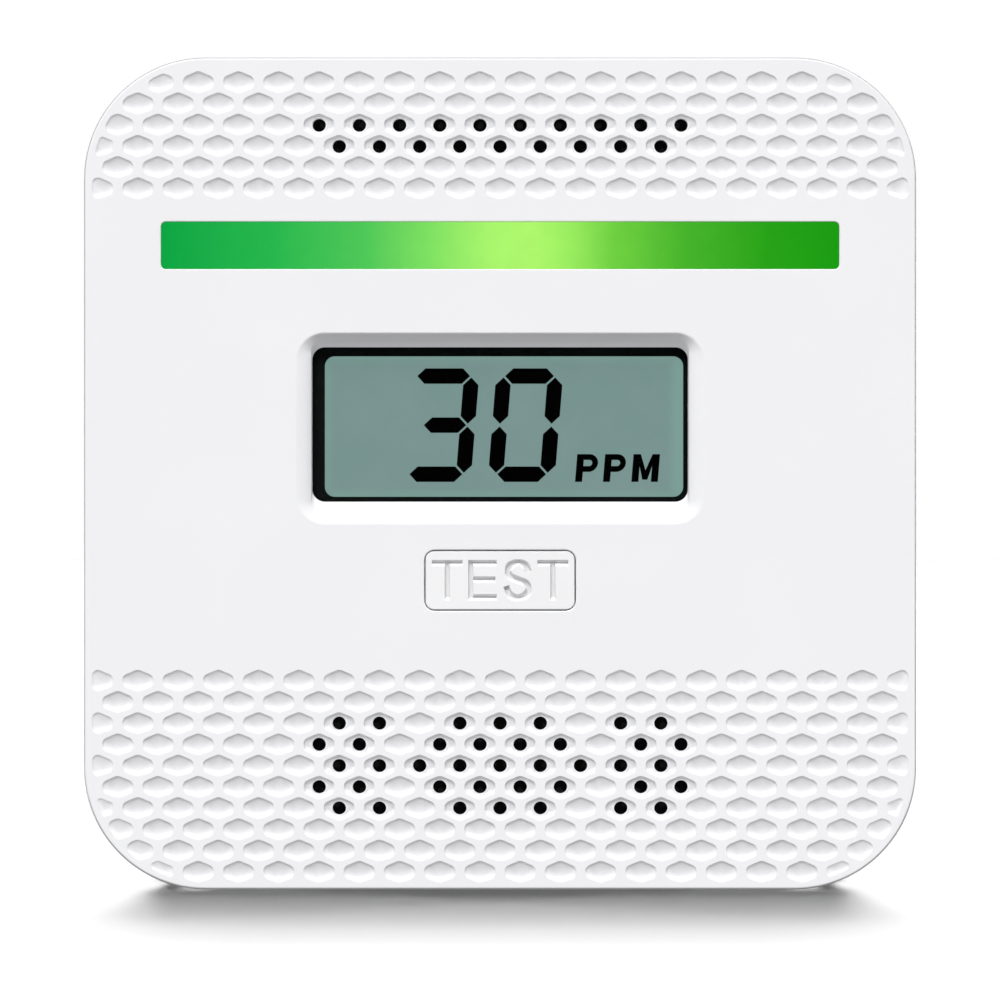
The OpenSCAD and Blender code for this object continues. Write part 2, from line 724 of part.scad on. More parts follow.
module battery_can_1() cell_can(0);
module battery_can_2() cell_can(1);
module battery_can_3() cell_can(2);
module battery_sleeve_1() cell_sleeve(0);
module battery_sleeve_2() cell_sleeve(1);
module battery_sleeve_3() cell_sleeve(2);

// A tube through a list of rings, each a list of points, closed at both ends
module tube(rings) {
    n = len(rings[0]);
    m = len(rings);
    polyhedron(
        points = [for (ring = rings, p = ring) p],
        faces = concat(
            [[for (j = [0 : n - 1]) j]],
            [for (i = [0 : m - 2], j = [0 : n - 1]) let (a = i * n + j, b = i * n + (j + 1) % n)
                [a, a + n, b + n, b]],
            [[for (j = [n - 1 : -1 : 0]) (m - 1) * n + j]]));
}

spring_sides = 8;
spring_steps = 14;           // rings in one turn

// Conical spring from the contact plate to the flat end of a cell
module cell_spring(k) {
    from = -plate_x + spring_wire;
    to = plate_x - nub_h - cell_len - spring_wire;
    steps = spring_turns * spring_steps;
    color("silver") seated() scale_x(cell_turn(k)) translate([0, cell_centre(k), -cell_d]) tube([
        for (i = [0 : steps]) let (
            t = i / steps,
            a = 360 * i / spring_steps,
            r = spring_r[0] + (spring_r[1] - spring_r[0]) * t,
            x = from + (to - from) * t,
            out = [0, cos(a), sin(a)])
        [for (j = [0 : spring_sides - 1]) let (b = -360 * j / spring_sides)
            [x, 0, 0] + r * out + spring_wire * (cos(b) * out + sin(b) * [1, 0, 0])]]);
}

module battery_spring_1() cell_spring(0);
module battery_spring_2() cell_spring(1);
module battery_spring_3() cell_spring(2);

// A contact plate on the bay's right wall, from one height to another
module contact_plate(from, to)
    box([plate_x, bay_x], [from - 5, to + 5], [cell_d - 6, cell_d + 5]);

// An end contact also reaches through the bay's floor, to a solder tab
module end_contact(y) {
    contact_plate(y, y);
    box([plate_x, bay_x], [y - tab_w / 2, y + tab_w / 2], [tab_d, cell_d - 5.9]);
}

module contact_positive() color("silver") seated() end_contact(cell_centre(2));
module contact_negative() color("silver") seated() scale_x(-1) end_contact(cell_centre(0));
module contact_bridge_left() color("silver") seated()
    scale_x(-1) contact_plate(cell_centre(1), cell_centre(2));
module contact_bridge_right() color("silver") seated() contact_plate(cell_centre(0), cell_centre(1));

// ---------------------------------------------------------------- leads

route_steps = 4;             // rings between two points of a route
lead_sides = 8;

function smooth_at(p, i, t) =
    let (a = p[max(i - 1, 0)], b = p[i], c = p[i + 1], d = p[min(i + 2, len(p) - 1)])
    0.5 * (2 * b + (c - a) * t + (2 * a - 5 * b + 4 * c - d) * t * t + (3 * b - a - 3 * c + d) * t * t * t);

function smooth(p) = concat(
    [for (i = [0 : len(p) - 2], s = [0 : route_steps - 1]) smooth_at(p, i, s / route_steps)],
    [p[len(p) - 1]]);

function unit(v) = v / norm(v);

// A round lead from a tab at the given place, its rings square to the line
module lead(tab, steps) {
    run = steps[len(steps) - 1];
    across = [run[1], -run[0], 0];
    corners = concat([for (p = steps) tab + p], [[tab[0] + run[0], tab[1] + run[1], lead_pad_d]]);
    line = [for (p = smooth(corners)) [p[0], p[1], -p[2]]];
    last = len(line) - 1;
    tube([for (i = [0 : last]) let (
            along = i == last ? [0, 0, 1] : unit(line[i + 1] - line[max(i - 1, 0)]),
            side = unit(cross(along, across)),
            up = cross(along, side))
        [for (j = [0 : lead_sides - 1]) let (b = 360 * j / lead_sides)
            line[i] + lead_r * (cos(b) * side + sin(b) * up)]]);
}

module red_lead() color("red") seated() lead([plate_x, cell_centre(2), lead_start_d], red_steps);
module black_lead() color("black") seated() lead([-plate_x, cell_centre(0), lead_start_d], black_steps);

// ---------------------------------------------------------------- nodes

front_cover();
rear_cover();
battery_door();
wall_bracket();
test_button();
light_bar_lens();
display_window();
upper_vent_screen();
lower_vent_screen();
case_screws();
main_board();
board_screws();
lcd_frame();
lcd_front_glass();
lcd_rear_glass();
lcd_reflector();
lcd_connector_strips();
light_bar_reflector();
status_leds();
switch_body();
switch_plunger();
buzzer_case();
buzzer_base();
piezo_disc();
buzzer_gasket();
buzzer_pins();
sensor_body();
sensor_cap();
sensor_filter();
sensor_gasket();
sensor_pins();
controller_chip();
controller_leads();
capacitors();
buzzer_coil();
chip_resistors();
battery_can_1();
battery_can_2();
battery_can_3();
battery_sleeve_1();
battery_sleeve_2();
battery_sleeve_3();
battery_spring_1();
battery_spring_2();
battery_spring_3();
contact_positive();
contact_negative();
contact_bridge_left();
contact_bridge_right();
red_lead();
black_lead();
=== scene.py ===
from math import atan2, ceil, cos, degrees, hypot, radians, sin

import bmesh
import bpy
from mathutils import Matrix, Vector
from mathutils.geometry import delaunay_2d_cdt

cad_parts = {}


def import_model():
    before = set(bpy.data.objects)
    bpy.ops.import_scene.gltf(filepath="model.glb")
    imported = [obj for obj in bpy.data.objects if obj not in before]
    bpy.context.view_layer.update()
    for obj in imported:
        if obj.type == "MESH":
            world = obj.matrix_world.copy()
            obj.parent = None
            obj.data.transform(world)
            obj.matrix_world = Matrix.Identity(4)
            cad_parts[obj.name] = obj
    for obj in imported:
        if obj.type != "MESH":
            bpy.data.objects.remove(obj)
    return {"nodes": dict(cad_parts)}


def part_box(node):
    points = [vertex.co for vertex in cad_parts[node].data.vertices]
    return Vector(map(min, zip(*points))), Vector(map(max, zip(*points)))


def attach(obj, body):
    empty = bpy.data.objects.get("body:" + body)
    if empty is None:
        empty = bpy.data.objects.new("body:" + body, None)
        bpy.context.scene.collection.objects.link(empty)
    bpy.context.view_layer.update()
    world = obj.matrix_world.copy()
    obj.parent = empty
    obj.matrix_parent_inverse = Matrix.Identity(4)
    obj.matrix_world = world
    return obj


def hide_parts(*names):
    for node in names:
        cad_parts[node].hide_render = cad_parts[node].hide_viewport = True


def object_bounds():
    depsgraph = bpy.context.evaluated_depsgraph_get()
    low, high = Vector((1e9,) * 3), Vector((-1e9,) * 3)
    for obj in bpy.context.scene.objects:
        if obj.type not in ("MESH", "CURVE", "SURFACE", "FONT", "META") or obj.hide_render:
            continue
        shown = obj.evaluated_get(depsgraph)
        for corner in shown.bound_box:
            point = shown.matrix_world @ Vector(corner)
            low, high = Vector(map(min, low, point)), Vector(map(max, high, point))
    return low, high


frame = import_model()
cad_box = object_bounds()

# The pieces are drawn as the CAD draws them: x to the right and y up from the middle of the front
# face, and depth backwards from it, all in millimetres. place() puts such a point into the frame.
MM = 0.001
cover_low, cover_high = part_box("front_cover")
FRONT_Y = cover_low.y
MID_X = (cover_low.x + cover_high.x) / 2
MID_Z = (cover_low.z + cover_high.z) / 2
BODY_W = (cover_high.x - cover_low.x) / MM
SEAM_D = (cover_high.y - cover_low.y) / MM


def place(x, y, depth):
    """A point given in millimetres on and behind the front face, in the frame."""
    return Vector((MID_X + x * MM, FRONT_Y + depth * MM, MID_Z + y * MM))


def front_box(node):
    """A CAD node's height on the body, width and height seen from the front, and its two depths."""
    low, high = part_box(node)
    return {
        "y": ((low + high).z / 2 - MID_Z) / MM,
        "w": (high.x - low.x) / MM,
        "h": (high.z - low.z) / MM,
        "near": (low.y - FRONT_Y) / MM,
        "far": (high.y - FRONT_Y) / MM,
    }


# ------------------------------------------------------------------ outlines

def arc(x, y, r, start, end, steps):
    """Points round a centre, from one angle to another, in degrees."""
    turns = [radians(start + (end - start) * i / steps) for i in range(steps + 1)]
    return [(x + r * cos(a), y + r * sin(a)) for a in turns]


def rounded_rect(w, h, r, x=0, y=0, steps=8):
    """A rectangle's outline with rounded corners, anticlockwise."""
    corners = [(1, 1, 0), (-1, 1, 90), (-1, -1, 180), (1, -1, 270)]
    outline = []
    for i, j, start in corners:
        outline += arc(x + i * (w / 2 - r), y + j * (h / 2 - r), r, start, start + 90, steps)
    return outline


def circle(x, y, r, steps=28):
    """A circle's outline, anticlockwise from its right."""
    return arc(x, y, r, 0, 360, steps)[:-1]


def inside(x, y, outline):
    """Whether a point is inside an outline."""
    crossings = 0
    for (x0, y0), (x1, y1) in zip(outline, outline[1:] + outline[:1]):
        if (y0 > y) != (y1 > y) and x < x0 + (y - y0) / (y1 - y0) * (x1 - x0):
            crossings += 1
    return crossings % 2 == 1


def clip(outline, cutter):
    """The part of a convex outline inside another convex one, both anticlockwise."""
    for (x0, y0), (x1, y1) in zip(cutter, cutter[1:] + cutter[:1]):
        side = [(x1 - x0) * (y - y0) - (y1 - y0) * (x - x0) for x, y in outline]
        kept = []
        for i, (x, y) in enumerate(outline):
            before = i - 1
            if (side[i] >= 0) != (side[before] >= 0):
                t = side[before] / (side[before] - side[i])
                px, py = outline[before]
                kept.append((px + t * (x - px), py + t * (y - py)))
            if side[i] >= 0:
                kept.append((x, y))
        outline = kept
        if len(outline) < 3:
            return []
    return outline


def without_close_points(outline, gap):
    """An outline without the points that are within a gap of the one before."""
    kept = []
    for p in outline:
        if not kept or hypot(p[0] - kept[-1][0], p[1] - kept[-1][1]) > gap:
            kept.append(p)
    while len(kept) > 1 and hypot(kept[0][0] - kept[-1][0], kept[0][1] - kept[-1][1]) <= gap:
        kept.pop()
    return kept


def area(outline):
    """The area of an anticlockwise outline."""
    pairs = zip(outline, outline[1:] + outline[:1])
    return sum(x0 * y1 - x1 * y0 for (x0, y0), (x1, y1) in pairs) / 2


def centroid(outline):
    """The mean of an outline's points."""
    count = len(outline)
    return sum(p[0] for p in outline) / count, sum(p[1] for p in outline) / count


def grown(core, r, step=12):
    """A convex outline pushed out by r, with its corners rounded.

    The count of points doesn't depend on r."""
    outline = []
    count = len(core)
    for i, (x, y) in enumerate(core):
        before, after = core[i - 1], core[(i + 1) % count]
        start = degrees(atan2(y - before[1], x - before[0])) - 90
        end = degrees(atan2(after[1] - y, after[0] - x)) - 90
        turn = (end - start) % 360
        if turn > 180:
            turn = 0
        outline += arc(x, y, r, start, start + turn, max(1, ceil(turn / step)))
    return outline


# ------------------------------------------------------------------ meshes

CREASE = 35


class Shape:
    """One mesh in the making."""

    def __init__(self):
        self.points = []
        self.faces = []
        self.flat = set()

    def ring(self, outline, depth):
        """A ring of points. The depth is a number, or a function of the height."""
        start = len(self.points)
        self.points += [(x, y, depth(y) if callable(depth) else depth) for x, y in outline]
        return list(range(start, len(self.points)))

    def bridge(self, a, b):
        """A wall between two rings with the same count of points."""
        count = len(a)
        after = [(i + 1) % count for i in range(count)]
        self.faces += [(a[i], a[after[i]], b[after[i]], b[i]) for i in range(count)]

    def stack(self, rings):
        """Walls between neighbouring rings, given as outlines with their depths.

        Returns the first and the last ring."""
        made = [self.ring(outline, depth) for outline, depth in rings]
        for a, b in zip(made, made[1:]):
            self.bridge(a, b)
        return made[0], made[-1]

    def cap(self, ring):
        """Closes a ring with triangles to its middle."""
        middle = [sum(self.points[i][k] for i in ring) / len(ring) for k in range(3)]
        self.points.append(tuple(middle))
        last = len(self.points) - 1
        self.faces += [(ring[i - 1], ring[i], last) for i in range(len(ring))]

    def sheet(self, outer, holes=()):
        """A flat sheet between an outer ring and the rings of its holes.

        A triangle with all its corners on one ring is kept only on the sheet's side of it."""
        rings = [outer, *holes]
        index = [i for ring in rings for i in ring]
        owner = [k for k, ring in enumerate(rings) for _ in ring]
        outlines = [[self.points[i][:2] for i in ring] for ring in rings]
        edges = []
        start = 0
        for ring in rings:
            count = len(ring)
            edges += [(start + i, start + (i + 1) % count) for i in range(count)]
            start += count
        flat = [Vector(self.points[i][:2]) for i in index]
        found, _, triangles, origins, _, _ = delaunay_2d_cdt(flat, edges, [], 0, 1e-6)
        for triangle in triangles:
            corners = [origins[v][0] for v in triangle]
            owners = {owner[c] for c in corners}
            if len(owners) == 1:
                x, y = (sum(found[v][k] for v in triangle) / 3 for k in range(2))
                ring = owners.pop()
                if inside(x, y, outlines[ring]) != (ring == 0):
                    continue
            self.flat.add(len(self.faces))
            self.faces.append(tuple(index[c] for c in corners))

    def piece(self, name, body, material, crease=CREASE, even=True):
        """Makes the object, riding on a body. Edges sharper than crease are shaded as edges."""
        mesh = bpy.data.meshes.new(name)
        mesh.from_pydata([place(*p) for p in self.points], [], self.faces)
        bm = bmesh.new()
        bm.from_mesh(mesh)
        bmesh.ops.recalc_face_normals(bm, faces=bm.faces)
        soften(bm, crease, self.flat)
        bm.to_mesh(mesh)
        bm.free()
        mesh.materials.append(material)
        piece = bpy.data.objects.new(name, mesh)
        bpy.context.scene.collection.objects.link(piece)
        if even:
            even_normals(piece)
        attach(piece, body)
        return piece


def soften(bm, crease, flat):
    """Smooth shading, except across edges sharper than crease and round the flat faces."""
    for face in bm.faces:
        face.smooth = True
    for edge in bm.edges:
        sides = [face.index in flat for face in edge.link_faces]
        alike = len(sides) == 2 and sides[0] == sides[1]
        edge.smooth = alike and edge.calc_face_angle() < radians(crease)


def even_normals(piece):
    """Shades a piece by its larger faces, so that the small ones at its edges don't bend them."""
    normals = piece.modifiers.new("normals", "WEIGHTED_NORMAL")
    normals.keep_sharp = True
    normals.weight = 60


# ------------------------------------------------------------------ materials

NOISE_RANGE = (0.3, 0.7)
CLOUD_MM = 18
GRAIN_MM = 0.35
WAVE_RADIANS = 20  # how many radians of a wave texture with a scale of 1 there are to the unit


def nodes_of(name):
    """A new material, its node tree and its shader."""
    material = bpy.data.materials.new(name)
    material.use_nodes = True
    return material, material.node_tree, material.node_tree.nodes["Principled BSDF"]


def linked(tree, kind, inputs=None, **settings):
    """A new node with its settings, and its inputs as values or other nodes' sockets."""
    node = tree.nodes.new(kind)
    for key, value in settings.items():
        setattr(node, key, value)
    for key, value in (inputs or {}).items():
        if isinstance(value, bpy.types.NodeSocket):
            tree.links.new(value, node.inputs[key])
        else:
            node.inputs[key].default_value = value
    return node


def noise(tree, size_mm, detail=3, roughness=0.55, stretch=(1, 1, 1)):
    """A noise with grains of about the given size, in the frame's own space."""
    where = linked(tree, "ShaderNodeTexCoord").outputs["Object"]
    inputs = {"Vector": where, "Scale": stretch}
    where = linked(tree, "ShaderNodeMapping", inputs).outputs["Vector"]
    inputs = {"Vector": where, "Scale": 1 / (size_mm * MM)}
    inputs |= {"Detail": detail, "Roughness": roughness}
    return linked(tree, "ShaderNodeTexNoise", inputs).outputs["Fac"]


def ranged(tree, value, from_low, from_high, to_low=0.0, to_high=1.0):
    """A value in one range turned into the one at the same share of another range."""
    inputs = {"Value": value, "From Min": from_low, "From Max": from_high}
    inputs |= {"To Min": to_low, "To Max": to_high}
    return linked(tree, "ShaderNodeMapRange", inputs).outputs["Result"]


def spread(tree, value, low, high):
    """A noise's value turned into one between low and high."""
    return ranged(tree, value, *NOISE_RANGE, low, high)


def maths(tree, operation, a, b=0.0):
    """The result of an operation on one or two values."""
    return linked(tree, "ShaderNodeMath", {0: a, 1: b}, operation=operation).outputs["Value"]


def scaled(tree, colour, factor):
    """A colour times a value or another colour."""
    inputs = {0: colour, 1: factor}
    return linked(tree, "ShaderNodeVectorMath", inputs, operation="MULTIPLY").outputs["Vector"]


def coordinates(tree):
    """The point's X, Y and Z in the frame's own space."""
    where = linked(tree, "ShaderNodeTexCoord").outputs["Object"]
    return linked(tree, "ShaderNodeSeparateXYZ", {"Vector": where}).outputs


def tinted(tree, value, dark, light):
    """A colour that goes from dark to light with a noise's value."""
    return ramped(tree, value, list(zip(NOISE_RANGE, (dark, light))))


def ramped(tree, value, stops):
    """A colour that goes through stops, each a value with its colour."""
    ramp = linked(tree, "ShaderNodeValToRGB", {"Fac": value})
    elements = ramp.color_ramp.elements
    for at, _ in stops[1:-1]:
        elements.new(at)
    for element, (at, colour) in zip(elements, stops):
        element.position = at
        element.color = (*colour, 1)
    return ramp.outputs["Color"]


def bumped(tree, shader, height, depth_mm):
    """Gives a shader a bump from a height of 0 to 1."""
    inputs = {"Height": height, "Distance": depth_mm * MM, "Strength": 1.0}
    bump = linked(tree, "ShaderNodeBump", inputs)
    tree.links.new(bump.outputs["Normal"], shader.inputs["Normal"])


def moulded(
    name, dark, light, roughness=(0.42, 0.5), grain_mm=GRAIN_MM, grain_depth=0.006,
    specular=0.35, coat=0.0,
):
    """Moulded plastic: a fine spark-eroded grain and cloudy patches of slightly different tone."""
    material, tree, shader = nodes_of(name)
    cloud = noise(tree, CLOUD_MM, detail=2)
    grain = noise(tree, grain_mm, detail=4)
    tree.links.new(tinted(tree, cloud, dark, light), shader.inputs["Base Color"])
    tree.links.new(spread(tree, grain, *roughness), shader.inputs["Roughness"])
    shader.inputs["Specular IOR Level"].default_value = specular
    shader.inputs["Coat Weight"].default_value = coat
    bumped(tree, shader, grain, grain_depth)
    return material


def metal(
    name, dark, light, roughness=(0.22, 0.38), brush=(1, 1, 1), grain_mm=0.6, depth=0.003
):
    """Plated or rolled metal, with faint marks along the way it was rolled."""
    material, tree, shader = nodes_of(name)
    marks = noise(tree, grain_mm, detail=4, stretch=brush)
    tree.links.new(tinted(tree, marks, dark, light), shader.inputs["Base Color"])
    tree.links.new(spread(tree, marks, *roughness), shader.inputs["Roughness"])
    shader.inputs["Metallic"].default_value = 1
    bumped(tree, shader, marks, depth)
    return material


def woven(name, dark, light, radian_mm):
    """A fine woven screen: threads across and up, over and under each other.

    radian_mm is the length of one radian of their waves."""
    material, tree, shader = nodes_of(name)
    where = linked(tree, "ShaderNodeTexCoord").outputs["Object"]
    wave = {"Vector": where, "Scale": 1 / (radian_mm * MM) / WAVE_RADIANS, "Distortion": 0.2}
    across = linked(tree, "ShaderNodeTexWave", wave, bands_direction="X").outputs["Fac"]
    up = linked(tree, "ShaderNodeTexWave", wave, bands_direction="Z").outputs["Fac"]
    cloth = maths(tree, "MULTIPLY", across, up)
    tree.links.new(tinted(tree, cloth, dark, light), shader.inputs["Base Color"])
    shader.inputs["Roughness"].default_value = 0.9
    shader.inputs["Specular IOR Level"].default_value = 0.1
    bumped(tree, shader, cloth, 0.05)
    return material


def board_material():
    """Green solder mask over a web of tracks, lighter where there is copper underneath."""
    material, tree, shader = nodes_of("board_mask")
    where = linked(tree, "ShaderNodeTexCoord").outputs["Object"]
    cells = {"Vector": where, "Scale": 1 / (4.5 * MM), "Randomness": 0.6}
    tracks = linked(tree, "ShaderNodeTexVoronoi", cells, distance="MANHATTAN").outputs["Distance"]
    fine = noise(tree, 1.2, detail=5)
    both = maths(tree, "MULTIPLY", tracks, fine)
    mask = tinted(tree, both, (0.008, 0.065, 0.025), (0.02, 0.16, 0.06))
    tree.links.new(mask, shader.inputs["Base Color"])
    tree.links.new(spread(tree, fine, 0.25, 0.4), shader.inputs["Roughness"])
    bumped(tree, shader, both, 0.02)
    return material


def bar_material(lens):
    """The lit light bar: yellow-green in the middle and deeper green towards its two ends."""
    material, tree, shader = nodes_of("light_bar")
    half = lens["w"] / 2 * MM
    share = ranged(tree, coordinates(tree)["X"], MID_X - half, MID_X + half)
    glow = [
        (0.00, (0.002, 0.375, 0.055)),
        (0.18, (0.022, 0.480, 0.078)),
        (0.31, (0.080, 0.590, 0.100)),
        (0.40, (0.215, 0.760, 0.125)),
        (0.49, (0.410, 0.945, 0.158)),
        (0.55, (0.430, 0.950, 0.155)),
        (0.60, (0.330, 0.860, 0.118)),
        (0.66, (0.165, 0.650, 0.055)),
        (0.76, (0.066, 0.470, 0.026)),
        (0.88, (0.022, 0.370, 0.010)),
        (1.00, (0.009, 0.330, 0.006)),
    ]
    haze = noise(tree, 2.5, detail=2)
    strength = spread(tree, haze, 0.96, 1.0)
    tree.links.new(ramped(tree, share, glow), shader.inputs["Emission Color"])
    tree.links.new(strength, shader.inputs["Emission Strength"])
    shader.inputs["Base Color"].default_value = (0.0, 0.004, 0.0, 1)
    shader.inputs["Roughness"].default_value = 0.4
    shader.inputs["Specular IOR Level"].default_value = 0.0
    return material


def display_material():
    """The liquid crystal's grey-green ground, painted lighter and greener towards its edges.

    Most of its light is its own: a painted glow that fills in the shade of its recess, so that it
    looks evenly lit there, as it does in the photograph."""
    material, tree, shader = nodes_of("display_ground_painted_glow")
    glass = front_box("lcd_front_glass")
    parts = coordinates(tree)
    even_x, even_z, middle_down, edge_mm = 20.1, 7.4, 0.25, 1.3
    edge_x = past(tree, parts["X"], MID_X, even_x)
    edge_z = past(tree, parts["Z"], MID_Z + (glass["y"] - middle_down) * MM, even_z)
    # Painted light: the ground turns lighter and greener within about a millimetre of its edges.
    painted_edge_glow = ranged(tree, maths(tree, "MAXIMUM", edge_x, edge_z), 0.0, edge_mm * MM)
    ground = ramped(tree, painted_edge_glow, [(0.0, (0.052, 0.079, 0.076)), (1.0, (0.056, 0.093, 0.084))])
    # Painted glow: most of the brightness comes from emission, with the lit colour cut to 0.35, so
    # the recess's shade doesn't show.
    tree.links.new(scaled(tree, ground, (0.35, 0.35, 0.35)), shader.inputs["Base Color"])
    tree.links.new(ground, shader.inputs["Emission Color"])
    shader.inputs["Emission Strength"].default_value = 3.45
    fine = noise(tree, 0.2, detail=3)
    tree.links.new(spread(tree, fine, 0.45, 0.55), shader.inputs["Roughness"])
    shader.inputs["Specular IOR Level"].default_value = 0.1
    bumped(tree, shader, fine, 0.002)
    return material


def past(tree, value, middle, reach_mm):
    """How far a coordinate is past a reach from a middle, in metres."""
    off = maths(tree, "ABSOLUTE", maths(tree, "SUBTRACT", value, middle))
    return maths(tree, "SUBTRACT", off, reach_mm * MM)


def clear_material(name, tint):
    """A clear window: what's behind shows through, under a gloss that grows at grazing angles."""
    material, tree, shader = nodes_of(name)
    output = tree.nodes["Material Output"]
    marks = noise(tree, 6, detail=3)
    colour = tinted(tree, marks, tint, (1, 1, 1))
    through = linked(tree, "ShaderNodeBsdfTransparent", {"Color": colour})
    tree.links.new(spread(tree, marks, 0.03, 0.08), shader.inputs["Roughness"])
    shader.inputs["Base Color"].default_value = (0.0, 0.0, 0.0, 1)
    fresnel = linked(tree, "ShaderNodeFresnel", {"IOR": 1.12}).outputs["Fac"]
    mixed = {0: fresnel, 1: through.outputs["BSDF"], 2: shader.outputs["BSDF"]}
    mix = linked(tree, "ShaderNodeMixShader", mixed)
    tree.links.new(mix.outputs["Shader"], output.inputs["Surface"])
    return material


def button_material():
    """The button's white plastic, with painted shade: a shade darker in the bottom of its letters.
    """
    material = moulded("button_white", (0.79, 0.79, 0.80), (0.82, 0.82, 0.83), grain_depth=0.004)
    tree = material.node_tree
    colour = tree.nodes["Principled BSDF"].inputs["Base Color"]
    # Painted shade: the colour darkens with depth below the button's face, down to 0.86 at 0.5 mm,
    # to shade the letters' grooves.
    face_y, painted_shade_mm, painted_darkest = FRONT_Y + front_box("test_button")["near"] * MM, 0.5, 0.86
    shade = ranged(tree, coordinates(tree)["Y"], face_y, face_y + painted_shade_mm * MM, 1.0, painted_darkest)
    tree.links.new(scaled(tree, colour.links[0].from_socket, shade), colour)
    return material


WHITE = moulded("cover_white", (0.79, 0.79, 0.805), (0.805, 0.805, 0.82))
BUTTON = button_material()
BRACKET = moulded("bracket_grey", (0.625, 0.635, 0.645), (0.645, 0.655, 0.665))
BLACK = moulded(
    "black_plastic", (0.003, 0.004, 0.004), (0.005, 0.006, 0.006),
    roughness=(0.5, 0.62), specular=0.04,
)
INK = moulded(
    "display_ink", (0.0005, 0.0005, 0.0005), (0.001, 0.001, 0.001),
    roughness=(0.6, 0.7), specular=0.0,
)
RUBBER = moulded(
    "grey_rubber", (0.035, 0.035, 0.037), (0.06, 0.06, 0.062), roughness=(0.75, 0.9), grain_mm=0.8
)
BRIGHT = moulded("reflector_white", (0.82, 0.82, 0.80), (0.88, 0.88, 0.86), roughness=(0.25, 0.35))
LED = moulded(
    "led_resin", (0.62, 0.50, 0.10), (0.75, 0.62, 0.18), roughness=(0.12, 0.2), coat=0.5
)
SLEEVE = moulded(
    "cell_sleeve", (0.010, 0.032, 0.105), (0.014, 0.045, 0.14), roughness=(0.18, 0.26), coat=0.4
)
CAPACITOR = moulded(
    "capacitor_blue", (0.006, 0.010, 0.05), (0.010, 0.016, 0.075), roughness=(0.2, 0.3), coat=0.3
)
RESISTOR = moulded(
    "resistor_black", (0.01, 0.01, 0.012), (0.03, 0.03, 0.033), roughness=(0.2, 0.3), grain_mm=0.5
)
RED = moulded(
    "red_vinyl", (0.36, 0.008, 0.008), (0.46, 0.014, 0.012), roughness=(0.3, 0.4), grain_mm=0.8
)
SOOT = moulded(
    "black_vinyl", (0.005, 0.005, 0.005), (0.012, 0.012, 0.012), roughness=(0.3, 0.4), grain_mm=0.8
)
SCREEN = woven("screen_black", (0.001, 0.001, 0.001), (0.012, 0.012, 0.012), 0.25)
STEEL = metal("screw_steel", (0.50, 0.50, 0.51), (0.58, 0.58, 0.59), grain_mm=0.3, depth=0.001)
SPRING = metal("spring_steel", (0.55, 0.55, 0.56), (0.72, 0.72, 0.73), roughness=(0.15, 0.28))
PIN = metal("pin_steel", (0.55, 0.55, 0.55), (0.70, 0.70, 0.69), grain_mm=0.3)
CELL = metal("cell_metal", (0.55, 0.55, 0.57), (0.68, 0.68, 0.70), brush=(0.1, 1, 1))
BRASS = metal("brass", (0.55, 0.37, 0.12), (0.70, 0.50, 0.20))
COPPER = metal(
    "coil_copper", (0.45, 0.15, 0.06), (0.62, 0.26, 0.12),
    brush=(1, 8, 1), grain_mm=0.5, depth=0.02,
)
CAN = metal("sensor_can", (0.38, 0.39, 0.40), (0.52, 0.53, 0.54), roughness=(0.3, 0.42))
FILM = metal("display_film", (0.36, 0.42, 0.40), (0.45, 0.50, 0.48), roughness=(0.4, 0.5))
BOARD = board_material()
GROUND = display_material()
CLEAR = clear_material("window_clear", (0.96, 0.985, 0.975))

FINISHES = {
    "rear_cover": WHITE,
    "battery_door": WHITE,
    "wall_bracket": BRACKET,
    "display_window": CLEAR,
    "upper_vent_screen": SCREEN,
    "lower_vent_screen": SCREEN,
    "case_screws": STEEL,
    "board_screws": STEEL,
    "main_board": BOARD,
    # The display's frame is black plastic, and its black also stands in for painted shade along the
    # inside of the display's recess.
    "lcd_frame": BLACK,
    "switch_body": BLACK,
    "buzzer_case": BLACK,
    "buzzer_base": BLACK,
    "controller_chip": BLACK,
    "lcd_front_glass": GROUND,
    "lcd_rear_glass": GROUND,
    "lcd_reflector": FILM,
    "lcd_connector_strips": RUBBER,
    "buzzer_gasket": RUBBER,
    "sensor_gasket": RUBBER,
    "light_bar_reflector": BRIGHT,
    "switch_plunger": BRIGHT,
    "sensor_filter": BRIGHT,
    "status_leds": LED,
    "piezo_disc": BRASS,
    "sensor_cap": BRASS,
    "buzzer_pins": PIN,
    "sensor_pins": PIN,
    "controller_leads": PIN,
    "sensor_body": CAN,
    "capacitors": CAPACITOR,
    "buzzer_coil": COPPER,
    "chip_resistors": RESISTOR,
    "contact_positive": SPRING,
    "contact_negative": SPRING,
    "contact_bridge_left": SPRING,
    "contact_bridge_right": SPRING,
    "red_lead": RED,
    "black_lead": SOOT,
}
for k in (1, 2, 3):
    FINISHES[f"battery_can_{k}"] = CELL
    FINISHES[f"battery_sleeve_{k}"] = SLEEVE
    FINISHES[f"battery_spring_{k}"] = SPRING


def finish_cad(node, material):
    """Gives a CAD node its material."""
    materials = frame["nodes"][node].data.materials
    materials.clear()
    materials.append(material)


CASE_EDGE = 0.15


def ease_edges(node, width_mm):
    """Rounds a CAD node's sharp edges, as a mould leaves them."""
    piece = frame["nodes"][node]
    weld = piece.modifiers.new("weld", "WELD")
    weld.merge_threshold = 0.002 * MM
    bevel = piece.modifiers.new("edges", "BEVEL")
    bevel.width = width_mm * MM
    bevel.segments = 2
    bevel.limit_method = "ANGLE"
    bevel.angle_limit = radians(CREASE)
    bevel.use_clamp_overlap = True
    even_normals(piece)


# ------------------------------------------------------------------ front cover

# The body's outline and its front edge: a small rounding, then a fine line sunk all round.
CORNER_R = 14.6
WALL = 2.0
FILLET = 0.22
LINE_IN = 0.11
LINE_OUT = 0.05
LINE_D = 0.58
LIP = 0.12
REBATE = {"in": 1.0, "deep": 1.8}

